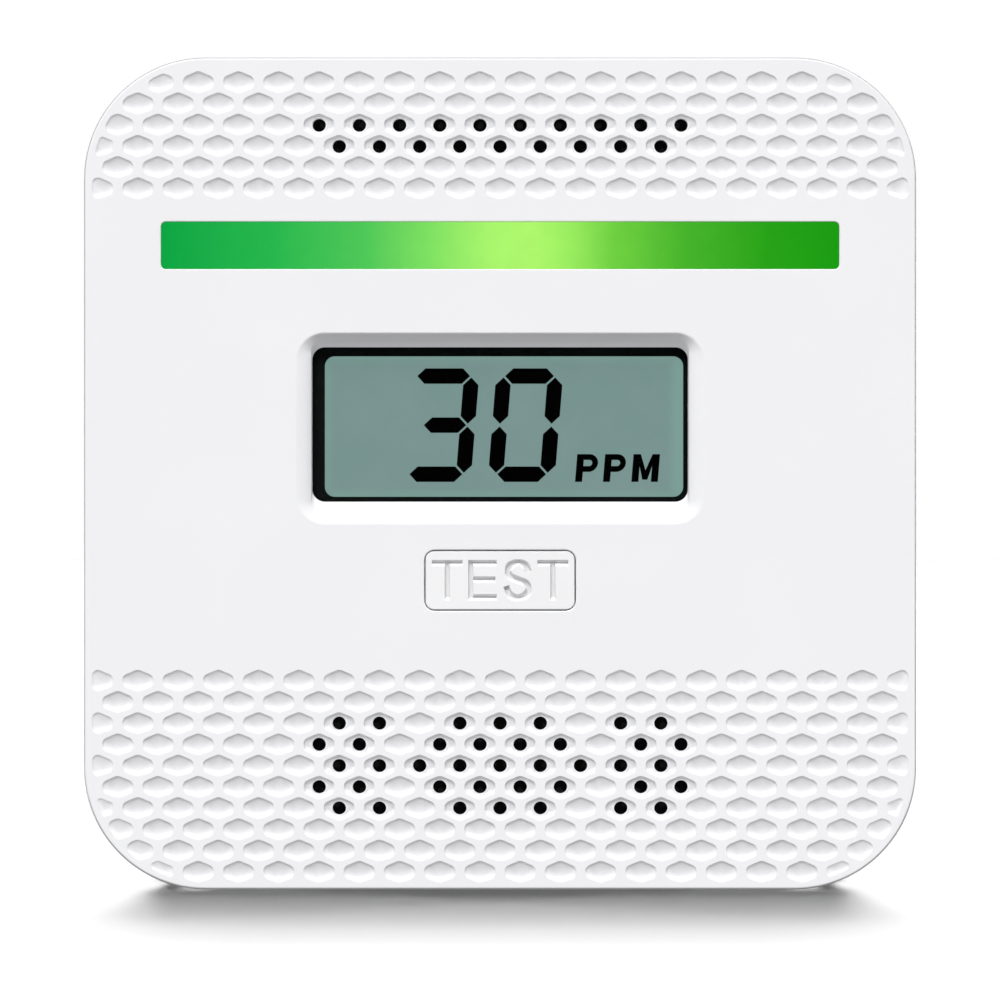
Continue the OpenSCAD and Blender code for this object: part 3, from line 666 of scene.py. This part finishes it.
# The honeycomb: the dimples' places and the ridges between them.
PITCH_X = 4.834
PITCH_Y = 2.55
RIDGE = 0.8
SIDE_RIDGE = 1.28
UPPER_ROW_Y = BODY_W / 2 - 3.03
LOWER_ROW_Y = -BODY_W / 2 + 25.07
UPPER_ROWS = 6
LOWER_ROWS = 10
EDGE_MARGIN = 0.92

# A dimple's outline: its corners' radius, or that of one mostly cut off, the share under which it
# counts as that, the least share that is drawn, and how far the bottom is drawn up.
CORE_R = 0.62
CUT_R = 0.3
CUT_SHARE = 0.25
LEAST_SHARE = 0.08
LOW_RISE = 0.22
DIMPLE_STEPS = 32

# Its rim: the radius, how far it sags at the bottom, its share of the dimple's depth, and its rings
# from the outside inwards, each with its share of the radius and of the depth.
RIM_R = 0.14
RIM_SAG = 0.12
RIM_SHARE = 0.26
RIM = ((1.0, 0.0), (0.72, 0.07), (0.4, 0.36), (0.0, 1.0))

# Its hollow: how deep it is, the share of that left to the smallest one, how far below its middle
# it is deepest, the sizes of its rings, and the power that its floor rises with.
DIMPLE_D = 0.7
SHALLOWEST = 0.35
SAG = 0.92
HOLLOW = (0.9, 0.76, 0.58, 0.38, 0.16)
HOLLOW_POWER = 1.8

# A vent: its radius, and the bowl and the low collar round it. Each plane has its depth at the
# vent's middle and its lean with the height. The collar's rings are given by how far they are from
# the hole.
VENT_R = 0.81
BOWL_LEAST = 0.24
BOWL_ABOVE = (0.43, -0.26)
BOWL_BELOW = (0.65, 0.3)
BOWL_REACH = 0.96
COLLAR = (0.36, 0.02)
COLLAR_OUT, COLLAR_TOP, COLLAR_IN = 0.3, 0.2, 0.04
COLLAR_EDGE = 0.05

# The display's opening, and the bezel's slope from the front face inwards: shares of the bezel's
# width at the sides, above and below, and the depth.
WINDOW = {"w": 45.2, "h": 18.6, "y": 5.9, "r": 1.5}
BEZEL = {"side": 1.7, "top": 1.66, "bottom": 2.4}
BEZEL_SLOPE = (
    (1.12, 1.07, 1.14, 0.0),
    (1.03, 1.01, 1.06, 0.03),
    (0.90, 0.95, 0.98, 0.1),
    (0.58, 0.87, 0.88, 0.3),
    (0.10, 0.64, 0.64, 0.72),
    (0.04, 0.40, 0.40, 1.12),
    (0.02, 0.20, 0.20, 1.42),
    (0.01, 0.06, 0.06, 1.58),
    (0.0, 0.0, 0.0, 1.66),
    (0.0, 0.0, 0.0, WALL),
)

# The light bar's opening, the button, and the line of air round the button, with the radii of their
# corners and of the openings' edges.
BAR_W, BAR_H, BAR_R, BAR_EDGE = 81.5, 5.7, 0.6, 0.12
BUTTON_W, BUTTON_H, BUTTON_R = 17.85, 6.96, 1
GAP, GAP_R, GAP_EDGE = 0.17, 1.25, 0.16


def body_shape(inset):
    """The body's outline, drawn in."""
    side = BODY_W - 2 * inset
    return rounded_rect(side, side, CORNER_R - inset, steps=24)


def row_y(upper, k):
    """The height of a row of dimples, counted from the top of its field."""
    return (UPPER_ROW_Y if upper else LOWER_ROW_Y) - k * PITCH_Y


def row_columns(upper, k):
    """Rows with a dimple on the centre line alternate with rows that straddle it."""
    if (k % 2 == 0) == upper:
        return [i + 0.5 for i in range(-10, 10)]
    return list(range(-10, 11))


def has_vent(upper, k, column):
    """The vents: two staggered rows above, and a pattern with three groups below."""
    off = abs(column)
    if upper:
        return (k == 2 and off < 5) or (k == 3 and off < 4.5)
    if k == 4:
        return off < 4.5
    if k in (2, 6):
        return off in (0, 1, 3, 4)
    return k in (3, 5) and off in (0.5, 1.5, 3.5, 4.5)


def dimple_core(x, y, r, rise):
    """The outline that, grown by r, is a dimple's rim, and the share of it left by the body's edge.

    rise is how far the bottom is drawn up."""
    gap = RIDGE + 2 * r
    tip = PITCH_Y * 2 / 3
    lean = tip / PITCH_X
    top = tip - gap / 2 * hypot(1, lean)
    side_x = (PITCH_X - SIDE_RIDGE) / 2 - r
    side_y = tip / 2 - gap / 2 * hypot(1, lean) + gap / 2 * lean
    low_y = rise / 2 - side_y
    corners = [
        (0, top), (-side_x, side_y), (-side_x, low_y),
        (0, rise - top), (side_x, low_y), (side_x, side_y),
    ]
    cell = [(x + u, y + v) for u, v in corners]
    limit = body_shape(EDGE_MARGIN + RIM_R + r)
    core = without_close_points(clip(cell, limit), 0.04)
    return (core, area(core) / area(cell)) if len(core) > 2 else (core, 0)


def towards(outline, middle, share):
    """An outline drawn in towards a middle."""
    mx, my = middle
    return [(mx + (x - mx) * share, my + (y - my) * share) for x, y in outline]


def even_steps(outline, count):
    """Points at even steps along an outline, from the point furthest right."""
    first = max(range(len(outline)), key=lambda i: outline[i][0])
    outline = outline[first:] + outline[:first + 1]
    lengths = [hypot(x1 - x0, y1 - y0) for (x0, y0), (x1, y1) in zip(outline, outline[1:])]
    step = sum(lengths) / count
    points, i, passed = [], 0, 0
    for k in range(count):
        while passed + lengths[i] < k * step:
            passed += lengths[i]
            i += 1
        t = (k * step - passed) / lengths[i]
        (x0, y0), (x1, y1) = outline[i], outline[i + 1]
        points.append((x0 + t * (x1 - x0), y0 + t * (y1 - y0)))
    return points


def relaxed(outline):
    """An outline with its corners eased."""
    ahead = outline[1:] + outline[:1]
    behind = outline[-1:] + outline[:-1]
    near = zip(behind, outline, ahead)
    return [((x0 + 2 * x + x1) / 4, (y0 + 2 * y + y1) / 4) for (x0, y0), (x, y), (x1, y1) in near]


def share_below(v, middle):
    """0 at a dimple's top and 1 at its bottom."""
    return min(1, max(0, 0.5 + (middle - v) / (1.5 * CORE_R)))


def leaning(depth, lean, y):
    """A depth that changes evenly with the height from y."""
    return lambda v: depth + lean * (v - y)


def vent_rings(x, y, rim):
    """A vent in a dimple's middle: a bowl, a low collar round the hole, and the hole's wall."""
    above, below = leaning(*BOWL_ABOVE, y), leaning(*BOWL_BELOW, y)
    collar = leaning(*COLLAR, y)

    def bowl(v):
        return max(BOWL_LEAST, min(above(v), below(v)))

    rings = [(towards(rim, (x, y), BOWL_REACH), bowl)]
    steps = [
        (COLLAR_OUT, bowl),
        (COLLAR_TOP, collar),
        (COLLAR_IN, collar),
        (0.0, lambda v: collar(v) + COLLAR_EDGE),
        (0.0, WALL),
    ]
    return rings + [(circle(x, y, VENT_R + out, DIMPLE_STEPS), depth) for out, depth in steps]


def dimple(shape, core, r, share, pierced):
    """Adds one dimple. Returns the ring at its edge, and its vent's ring on the inside of the wall.

    Its edge is eased, more so at the bottom, and it is deepest a little below its middle. One that
    is partly cut off is shallower."""
    x, y = centroid(core)
    depth = DIMPLE_D * (SHALLOWEST + (1 - SHALLOWEST) * share)
    rim_depth = RIM_SHARE * depth
    rings = []
    for ease, part in RIM:
        edge = even_steps(grown(core, r + RIM_R * ease), DIMPLE_STEPS)
        sunk = [(u, v - RIM_SAG * ease * share_below(v, y)) for u, v in edge]
        rings.append((sunk, part * rim_depth))
    rim = rings[-1][0]
    if pierced:
        return shape.stack(rings + vent_rings(x, y, rim))
    lowest = (x, y - SAG * min(1, share + 0.2))
    for size in HOLLOW:
        rim = relaxed(rim)
        floor_depth = depth - (depth - rim_depth) * size ** HOLLOW_POWER
        rings.append((towards(rim, lowest, size), floor_depth))
    edge, bottom = shape.stack(rings)
    shape.cap(bottom)
    return edge, None


def dimple_field(shape):
    """All the dimples. Returns the rings that the front face meets, and those the inside meets."""
    edges, vents = [], []
    for upper, rows in ((True, UPPER_ROWS), (False, LOWER_ROWS)):
        for k in range(rows):
            for column in row_columns(upper, k):
                at = (column * PITCH_X, row_y(upper, k))
                pierced = has_vent(upper, k, column)
                rise = 0 if pierced else LOW_RISE
                r = CORE_R
                core, share = dimple_core(*at, r, rise)
                if share < CUT_SHARE:
                    r = CUT_R
                    core, share = dimple_core(*at, r, rise)
                if share < LEAST_SHARE:
                    continue
                edge, vent = dimple(shape, core, r, share, pierced)
                edges.append(edge)
                if vent:
                    vents.append(vent)
    return edges, vents


def eased(outline_at, r, start, steps=4):
    """Rings round an opening's edge of radius r. outline_at(growth) is the opening's outline."""
    rings = []
    for i in range(steps + 1):
        a = radians(90 * i / steps)
        rings.append((outline_at(r * (1 - sin(a))), start + r * (1 - cos(a))))
    return rings


def window_rings():
    """The bezel round the display, from the front face inwards: a slope, hollow at the sides."""
    rings = []
    for sides, above, below, depth in BEZEL_SLOPE:
        side = BEZEL["side"] * sides
        top, bottom = BEZEL["top"] * above, BEZEL["bottom"] * below
        outline = rounded_rect(
            WINDOW["w"] + 2 * side,
            WINDOW["h"] + top + bottom,
            WINDOW["r"] + side,
            y=WINDOW["y"] + (top - bottom) / 2,
            steps=14,
        )
        rings.append((outline, depth))
    return rings


def slot_rings(w, h, r, y, edge):
    """A plain opening with its front edge eased."""
    def outline_at(growth):
        return rounded_rect(w + 2 * growth, h + 2 * growth, r + growth, y=y)

    return eased(outline_at, edge, 0) + [(outline_at(0), WALL)]


def outside_rings():
    """The cover's outside, from the front face round its edge and seam to inside its wall."""
    steps = 8
    rings = []
    for i in range(steps + 1):
        a = radians(90 * i / steps)
        rings.append((body_shape(LINE_IN + FILLET * (1 - sin(a))), FILLET * (1 - cos(a))))
    insets = [
        (LINE_IN, LINE_D),
        (LINE_OUT, LINE_D),
        (LINE_OUT, FILLET + LIP),
        (0, FILLET + LIP + LINE_OUT),
        (0, SEAM_D - LIP),
        (LIP * 0.3, SEAM_D - LIP * 0.3),
        (LIP, SEAM_D),
        (REBATE["in"], SEAM_D),
        (REBATE["in"], SEAM_D - REBATE["deep"]),
        (WALL, SEAM_D - REBATE["deep"]),
        (WALL, WALL),
    ]
    return rings + [(body_shape(inset), depth) for inset, depth in insets]


def front_cover():
    """The front cover as one closed shell: honeycomb, vents, bezel, slots and a line round it."""
    shape = Shape()
    edges, vents = dimple_field(shape)
    lens = front_box("light_bar_lens")
    button = front_box("test_button")
    openings = [
        window_rings(),
        slot_rings(BAR_W, BAR_H, BAR_R, lens["y"], BAR_EDGE),
        slot_rings(BUTTON_W + 2 * GAP, BUTTON_H + 2 * GAP, GAP_R, button["y"], GAP_EDGE),
    ]
    front, back = zip(*[shape.stack(rings) for rings in openings])
    first, last = shape.stack(outside_rings())
    shape.sheet(first, [*edges, *front])
    shape.sheet(last, [*vents, *back])
    piece = shape.piece("front_cover_skin", "housing", WHITE, crease=50)
    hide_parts("front_cover")


# ------------------------------------------------------------------ light bar

# The lens's front edge as rings from its face inwards, each with its growth and depth, and its play
# in the opening.
LENS_EDGE = ((-0.35, 0.0), (-0.2, 0.02), (-0.07, 0.09), (0.0, 0.22))
LENS_PLAY = 0.1


def light_bar():
    """The light bar's lens: a flat-faced bar with eased edges, on its flange."""
    lens = front_box("light_bar_lens")
    y = lens["y"]

    def outline_at(growth):
        out = 2 * (growth - LENS_PLAY)
        return rounded_rect(BAR_W + out, BAR_H + out, BAR_R - LENS_PLAY + growth, y=y)

    flange = rounded_rect(lens["w"], lens["h"], BAR_R, y=y)
    rings = [(outline_at(growth), lens["near"] + depth) for growth, depth in LENS_EDGE]
    rings += [(outline_at(0), WALL), (flange, WALL), (flange, lens["far"])]
    shape = Shape()
    first, last = shape.stack(rings)
    shape.sheet(first)
    shape.sheet(last)
    piece = shape.piece("light_bar_lit", "housing", bar_material(lens))
    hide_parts("light_bar_lens")


# ------------------------------------------------------------------ display

SLANT = 0.08
DIGIT = {"h": 13.7, "reach": 3.12, "bar": 1.85, "gap": 0.17}
INK_T = 0.05
INK_DOWN = 0.05

# The digits' middles, and where the open 3's bars end on the left.
THREE_X, ZERO_X = -7.04, 3.085
THREE_ENDS = {"top": -3.43, "middle": -2.17, "bottom": -3.43}

# The unit's letters: height, stroke, widths and left edges.
UNIT = {"h": 3.35, "stroke": 0.85, "p_w": 2.6, "m_w": 3.2, "p_x": (9.6, 12.97), "m_x": 16.4}


def segment(x0, y0, x1, y1, t):
    """A display segment between two points, with pointed ends."""
    long = hypot(x1 - x0, y1 - y0)
    ux, uy = (x1 - x0) / long, (y1 - y0) / long
    h = t / 2
    corners = [(0, 0), (h, -h), (long - h, -h), (long, 0), (long - h, h), (h, h)]
    return [(x0 + a * ux - b * uy, y0 + a * uy + b * ux) for a, b in corners]


def slanted(outline, x, y):
    """An outline moved to a place on the display and leaned over."""
    return [(x + u + SLANT * (v + y - WINDOW["y"]), y + v) for u, v in outline]


def digit_segments(lit, left_end=None):
    """The outlines of a digit's lit segments. left_end says where an open digit's bars end."""
    r, half, gap = DIGIT["reach"], DIGIT["h"] / 2 - DIGIT["bar"] / 2, DIGIT["gap"]
    ends = left_end or {}
    bars = {
        "top": (ends.get("top", -r + gap), half, r - gap, half),
        "middle": (ends.get("middle", -r + gap), 0, r - gap, 0),
        "bottom": (ends.get("bottom", -r + gap), -half, r - gap, -half),
        "upper_left": (-r, gap, -r, half - gap),
        "upper_right": (r, gap, r, half - gap),
        "lower_left": (-r, -half + gap, -r, -gap),
        "lower_right": (r, -half + gap, r, -gap),
    }
    return [segment(*bars[name], DIGIT["bar"]) for name in lit]


def letter_p(h, w, t):
    """A bold letter's outline and the outline of its hole, from its lower left corner."""
    bowl = h * 0.64
    r = bowl / 2
    outer = [(0, 0), (t, 0), (t, h - bowl), (w - r, h - bowl)]
    outer += arc(w - r, h - r, r, -90, 90, 10)[1:] + [(0, h)]
    inner_r = r - t * 0.82
    hole = arc(w - r, h - r, inner_r, -90, 90, 10)
    return outer, [(t, h - r - inner_r), *hole, (t, h - r + inner_r)]


def letter_m(h, w, t):
    """A bold letter's outline, from its lower left corner."""
    middle, nib, shoulder = w / 2, t * 0.36, t * 1.05
    leg, low, notch = h * 0.56, h * 0.08, h * 0.42
    return [
        (0, 0), (t, 0), (t, leg), (middle - nib, low), (middle + nib, low), (w - t, leg),
        (w - t, 0), (w, 0), (w, h), (w - shoulder, h), (middle, notch), (shoulder, h), (0, h),
    ]


def ink(shape, outline, hole, near, far):
    """A thin raised shape of ink."""
    first, last = shape.stack([(outline, near), (outline, far)])
    if not hole:
        shape.sheet(first)
        shape.sheet(last)
        return
    hole_first, hole_last = shape.stack([(hole, near), (hole, far)])
    shape.sheet(first, [hole_first])
    shape.sheet(last, [hole_last])


def display_digits():
    """The number 30 and its unit, as the display's dark segments."""
    glass = front_box("lcd_front_glass")
    far = glass["near"]
    near = far - INK_T
    y = WINDOW["y"] - INK_DOWN
    three = ["top", "middle", "bottom", "upper_right", "lower_right"]
    zero = ["top", "bottom", "upper_left", "upper_right", "lower_left", "lower_right"]
    digits = [(THREE_X, digit_segments(three, THREE_ENDS)), (ZERO_X, digit_segments(zero))]
    shape = Shape()
    for x, outlines in digits:
        for outline in outlines:
            ink(shape, slanted(outline, x, y), None, near, far)
    base = y - DIGIT["h"] / 2
    outer, hole = letter_p(UNIT["h"], UNIT["p_w"], UNIT["stroke"])
    for x in UNIT["p_x"]:
        ink(shape, slanted(outer, x, base), slanted(hole, x, base), near, far)
    last = letter_m(UNIT["h"], UNIT["m_w"], UNIT["stroke"])
    ink(shape, slanted(last, UNIT["m_x"], base), None, near, far)
    piece = shape.piece("display_digits", "housing", INK, even=False)


# ------------------------------------------------------------------ test button

# The flange's depths, the cap's rings from the face to the flange, each with its growth and depth,
# and the stem's radius and eased end.
FLANGE_NEAR, FLANGE_FAR = 2.2, 3.2
CAP_EDGE = ((-0.06, 0.0), (-0.02, 0.02), (0.0, 0.06), (0.03, 0.3), (0.1, 0.5), (0.1, FLANGE_NEAR))
STEM_R = 1.6
STEM_EDGE = 0.15

LETTER = {"pitch": 4.23, "y": 0.1, "bar_y": 2.06, "middle_y": 0.08, "depth": 0.48}
LETTER_W = {"T": 3.1, "E": 2.82, "S": 2.82}
SHORT_ARM = 0.15

# The middle line of the S, in shares of its half width and half height.
S_LINE = (
    (0.92, 0.46), (0.66, 0.83), (0.05, 1.0), (-0.62, 0.84), (-0.86, 0.50), (-0.62, 0.20),
    (0.0, 0.02), (0.66, -0.17), (0.95, -0.50), (0.66, -0.85), (0.0, -1.0), (-0.68, -0.82),
    (-0.97, -0.36),
)
S_TALLER = 0.06

# A stroke's walls, from the face inwards: its reach up, down and sideways from its middle line, and
# the share of the depth. The side walls are the steepest.
LETTER_WALL = (
    (0.31, 0.46, 0.33, 0.0),
    (0.27, 0.38, 0.30, 0.05),
    (0.13, 0.20, 0.27, 0.45),
    (0.0, 0.10, 0.25, 0.9),
    (-0.05, 0.09, 0.24, 1.0),
)


def offset_path(path, up, down, side, turn):
    """A path moved to its left, or with turn -1 to its right, by the reach of the way it faces."""
    moved = []
    for i, (x, y) in enumerate(path):
        x0, y0 = path[max(i - 1, 0)]
        x1, y1 = path[min(i + 1, len(path) - 1)]
        long = hypot(x1 - x0, y1 - y0)
        nx, ny = turn * (y0 - y1) / long, turn * (x1 - x0) / long
        reach = side * abs(nx) + (up if ny > 0 else down) * abs(ny)
        moved.append((x + nx * reach, y + ny * reach))
    return moved


def smooth_path(points, steps=5):
    """A smooth line through points, as a Catmull-Rom curve."""
    line = []
    for i in range(len(points) - 1):
        a, b = points[max(i - 1, 0)], points[i]
        c, d = points[i + 1], points[min(i + 2, len(points) - 1)]
        for s in range(steps):
            t = s / steps
            weights = (
                (-t + 2 * t * t - t ** 3) / 2,
                (2 - 5 * t * t + 3 * t ** 3) / 2,
                (t + 4 * t * t - 3 * t ** 3) / 2,
                (-t * t + t ** 3) / 2,
            )
            near = list(zip(weights, (a, b, c, d)))
            line.append(tuple(sum(w * p[k] for w, p in near) for k in range(2)))
    return line + [points[-1]]


def letter_outline(letter, up, down, side):
    """A thin plain letter's outline, with its strokes reaching up, down and sideways."""
    w, high, middle = LETTER_W[letter] / 2, LETTER["bar_y"], LETTER["middle_y"]
    right, bottom, under = w + side, -high - down, high - down
    if letter == "T":
        return [(-side, bottom), (side, bottom), (side, under), (right, under), (right, high + up),
                (-right, high + up), (-right, under), (-side, under)]
    if letter == "E":
        left, arm, short = -w - side, -w + side, right - SHORT_ARM
        return [(left, bottom), (right, bottom), (right, up - high), (arm, up - high),
                (arm, middle - down), (short, middle - down), (short, middle + up),
                (arm, middle + up), (arm, under), (right, under), (right, high + up),
                (left, high + up)]
    line = smooth_path([(x * w, y * (high + S_TALLER)) for x, y in S_LINE])
    return offset_path(line, up, down, side, -1) + offset_path(line, up, down, side, 1)[::-1]


def sunk_letter(shape, letter, x, y, near):
    """Sinks a letter into the face. Returns the ring at its edge."""
    rings = []
    for up, down, side, part in LETTER_WALL:
        outline = [(x + u, y + v) for u, v in letter_outline(letter, up, down, side)]
        rings.append((outline, near + part * LETTER["depth"]))
    edge, floor_ring = shape.stack(rings)
    shape.sheet(floor_ring)
    return edge


def test_button():
    """The test button: an eased cap with the word TEST sunk into it, on its flange and stem."""
    button = front_box("test_button")
    y, near, far = button["y"], button["near"], button["far"]

    def outline_at(growth):
        out = 2 * growth
        return rounded_rect(BUTTON_W + out, BUTTON_H + out, BUTTON_R + growth, y=y)

    flange = rounded_rect(button["w"], button["h"], BUTTON_R, y=y)
    rings = [(outline_at(growth), near + depth) for growth, depth in CAP_EDGE]
    rings += [(flange, near + FLANGE_NEAR), (flange, near + FLANGE_FAR)]
    shape = Shape()
    front, back = shape.stack(rings)
    holes = []
    for i, letter in enumerate("TEST"):
        x = (i - 1.5) * LETTER["pitch"]
        holes.append(sunk_letter(shape, letter, x, y + LETTER["y"], near))
    shape.sheet(front, holes)
    stem, tip = circle(0, y, STEM_R), circle(0, y, STEM_R - STEM_EDGE)
    rings = [(stem, near + FLANGE_FAR), (stem, far - STEM_EDGE), (tip, far)]
    root, end = shape.stack(rings)
    shape.sheet(back, [root])
    shape.cap(end)
    piece = shape.piece("test_button_cap", "button", BUTTON, crease=40)
    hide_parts("test_button")


# ------------------------------------------------------------------ stage

# The camera's distance, the picture's width in body widths, and how far it is off the middle.
CAMERA_AWAY = 0.75
VIEW_WIDTHS = 1001 / 832.5
AIM_RIGHT, AIM_DOWN = 0.00005, 0.00325

FLOOR_SIZE = 8
SKY = 0.45
OVERHEAD = 0.15
FLOOR_LIGHT = 11.3
FLOOR_SUN_SPREAD = 7

# The object's lights: name, strength, spread, elevation and azimuth.
OBJECT_SUNS = (
    ("key", 3.3, 35, 50, -9),
    ("left", 0.3, 50, 15, -75),
    ("right", 0.34, 50, 15, 75),
    ("behind", 2.2, 50, 12, 160),
)

# The floor's lights: elevation, azimuth and share. Those from behind make the shadow in front of
# the object fade step by step, and the two low ones from its sides narrow its ends.
FLOOR_SUNS = (
    (41, 180, 0.13),
    (46, 180, 0.14),
    (52, 180, 0.21),
    (59, 180, 0.15),
    (67, 180, 0.12),
    (75, 180, 0.14),
    (22, 130, 0.055),
    (22, -130, 0.055),
)

# Only these nodes stop the floor's lights. The shadow in the photograph is narrower than the body,
# and these are about as wide as it. The screws fill the notches in the board's corners.
SHADOW_CASTERS = ("main_board", "case_screws", "battery_door", "wall_bracket")


def floor():
    """A plain pale floor, which throws no light back onto the object."""
    bpy.ops.mesh.primitive_plane_add(size=FLOOR_SIZE, location=(0, 0, cad_box[0][2]))
    plane = bpy.context.object
    plane.name = "floor"
    material, tree, shader = nodes_of("floor_pale")
    shade = tinted(tree, noise(tree, 300, detail=1), (0.275, 0.275, 0.275), (0.285, 0.285, 0.285))
    tree.links.new(shade, shader.inputs["Base Color"])
    shader.inputs["Roughness"].default_value = 0.8
    shader.inputs["Specular IOR Level"].default_value = 0.0
    plane.data.materials.append(material)
    plane.visible_diffuse = False
    return plane


def sun(name, strength, spread_deg, elevation, azimuth):
    """A soft far light. Azimuth 0 is straight in front of the object, and 90 on its right."""
    light = bpy.data.lights.new(name, "SUN")
    light.energy = strength
    light.angle = radians(spread_deg)
    holder = bpy.data.objects.new(name, light)
    bpy.context.scene.collection.objects.link(holder)
    e, a = radians(elevation), radians(azimuth)
    source = Vector((sin(a) * cos(e), -cos(a) * cos(e), sin(e)))
    holder.rotation_euler = source.to_track_quat("Z", "Y").to_euler()
    return holder


def lights(plane):
    """Lights for the object alone, from all round, and others for the floor alone, from behind."""
    for_floor = bpy.data.collections.new("floor_light")
    for_floor.objects.link(plane)
    for_object = bpy.data.collections.new("object_light")
    for_object.objects.link(plane)
    for_object.collection_objects[0].light_linking.link_state = "EXCLUDE"
    for light in OBJECT_SUNS:
        sun(*light).light_linking.receiver_collection = for_object
    blockers = bpy.data.collections.new("shadow_casters")
    for node in SHADOW_CASTERS:
        blockers.objects.link(frame["nodes"][node])
    for elevation, azimuth, share in FLOOR_SUNS:
        name = f"floor_{elevation}_{azimuth}"
        strength = FLOOR_LIGHT * share / sin(radians(elevation))
        light = sun(name, strength, FLOOR_SUN_SPREAD, elevation, azimuth)
        light.light_linking.receiver_collection = for_floor
        light.light_linking.blocker_collection = blockers


def world():
    """A white surround that lights the scene gently, more from its sides than from overhead.

    The camera sees it as plain white."""
    bpy.context.scene.world = bpy.data.worlds.new("studio")
    surround = bpy.context.scene.world
    surround.use_nodes = True
    tree = surround.node_tree
    background = tree.nodes["Background"]
    background.inputs["Color"].default_value = (1, 1, 1, 1)
    where = linked(tree, "ShaderNodeTexCoord").outputs["Generated"]
    height = linked(tree, "ShaderNodeSeparateXYZ", {"Vector": where}).outputs["Z"]
    glow = ranged(tree, height, 0.0, 1.0, SKY, OVERHEAD)
    seen = linked(tree, "ShaderNodeLightPath").outputs["Is Camera Ray"]
    tree.links.new(ranged(tree, seen, 0.0, 1.0, glow, 1.0), background.inputs["Strength"])


def camera():
    """A long lens straight in front of the object, a little below its middle."""
    lens = bpy.data.cameras.new("camera")
    holder = bpy.data.objects.new("camera", lens)
    bpy.context.scene.collection.objects.link(holder)
    lens.sensor_width = 36
    lens.lens = lens.sensor_width * CAMERA_AWAY / (BODY_W * MM * VIEW_WIDTHS)
    lens.clip_end = 20
    holder.location = (MID_X + AIM_RIGHT, FRONT_Y - CAMERA_AWAY, MID_Z - AIM_DOWN)
    holder.rotation_euler = (radians(90), 0, 0)
    bpy.context.scene.camera = holder


# ------------------------------------------------------------------ everything

front_cover()
light_bar()
display_digits()
test_button()
for node, material in FINISHES.items():
    finish_cad(node, material)
for node in ("rear_cover", "battery_door", "wall_bracket"):
    ease_edges(node, CASE_EDGE)
lights(floor())
world()
camera()
bpy.context.scene.view_settings.view_transform = "Standard"
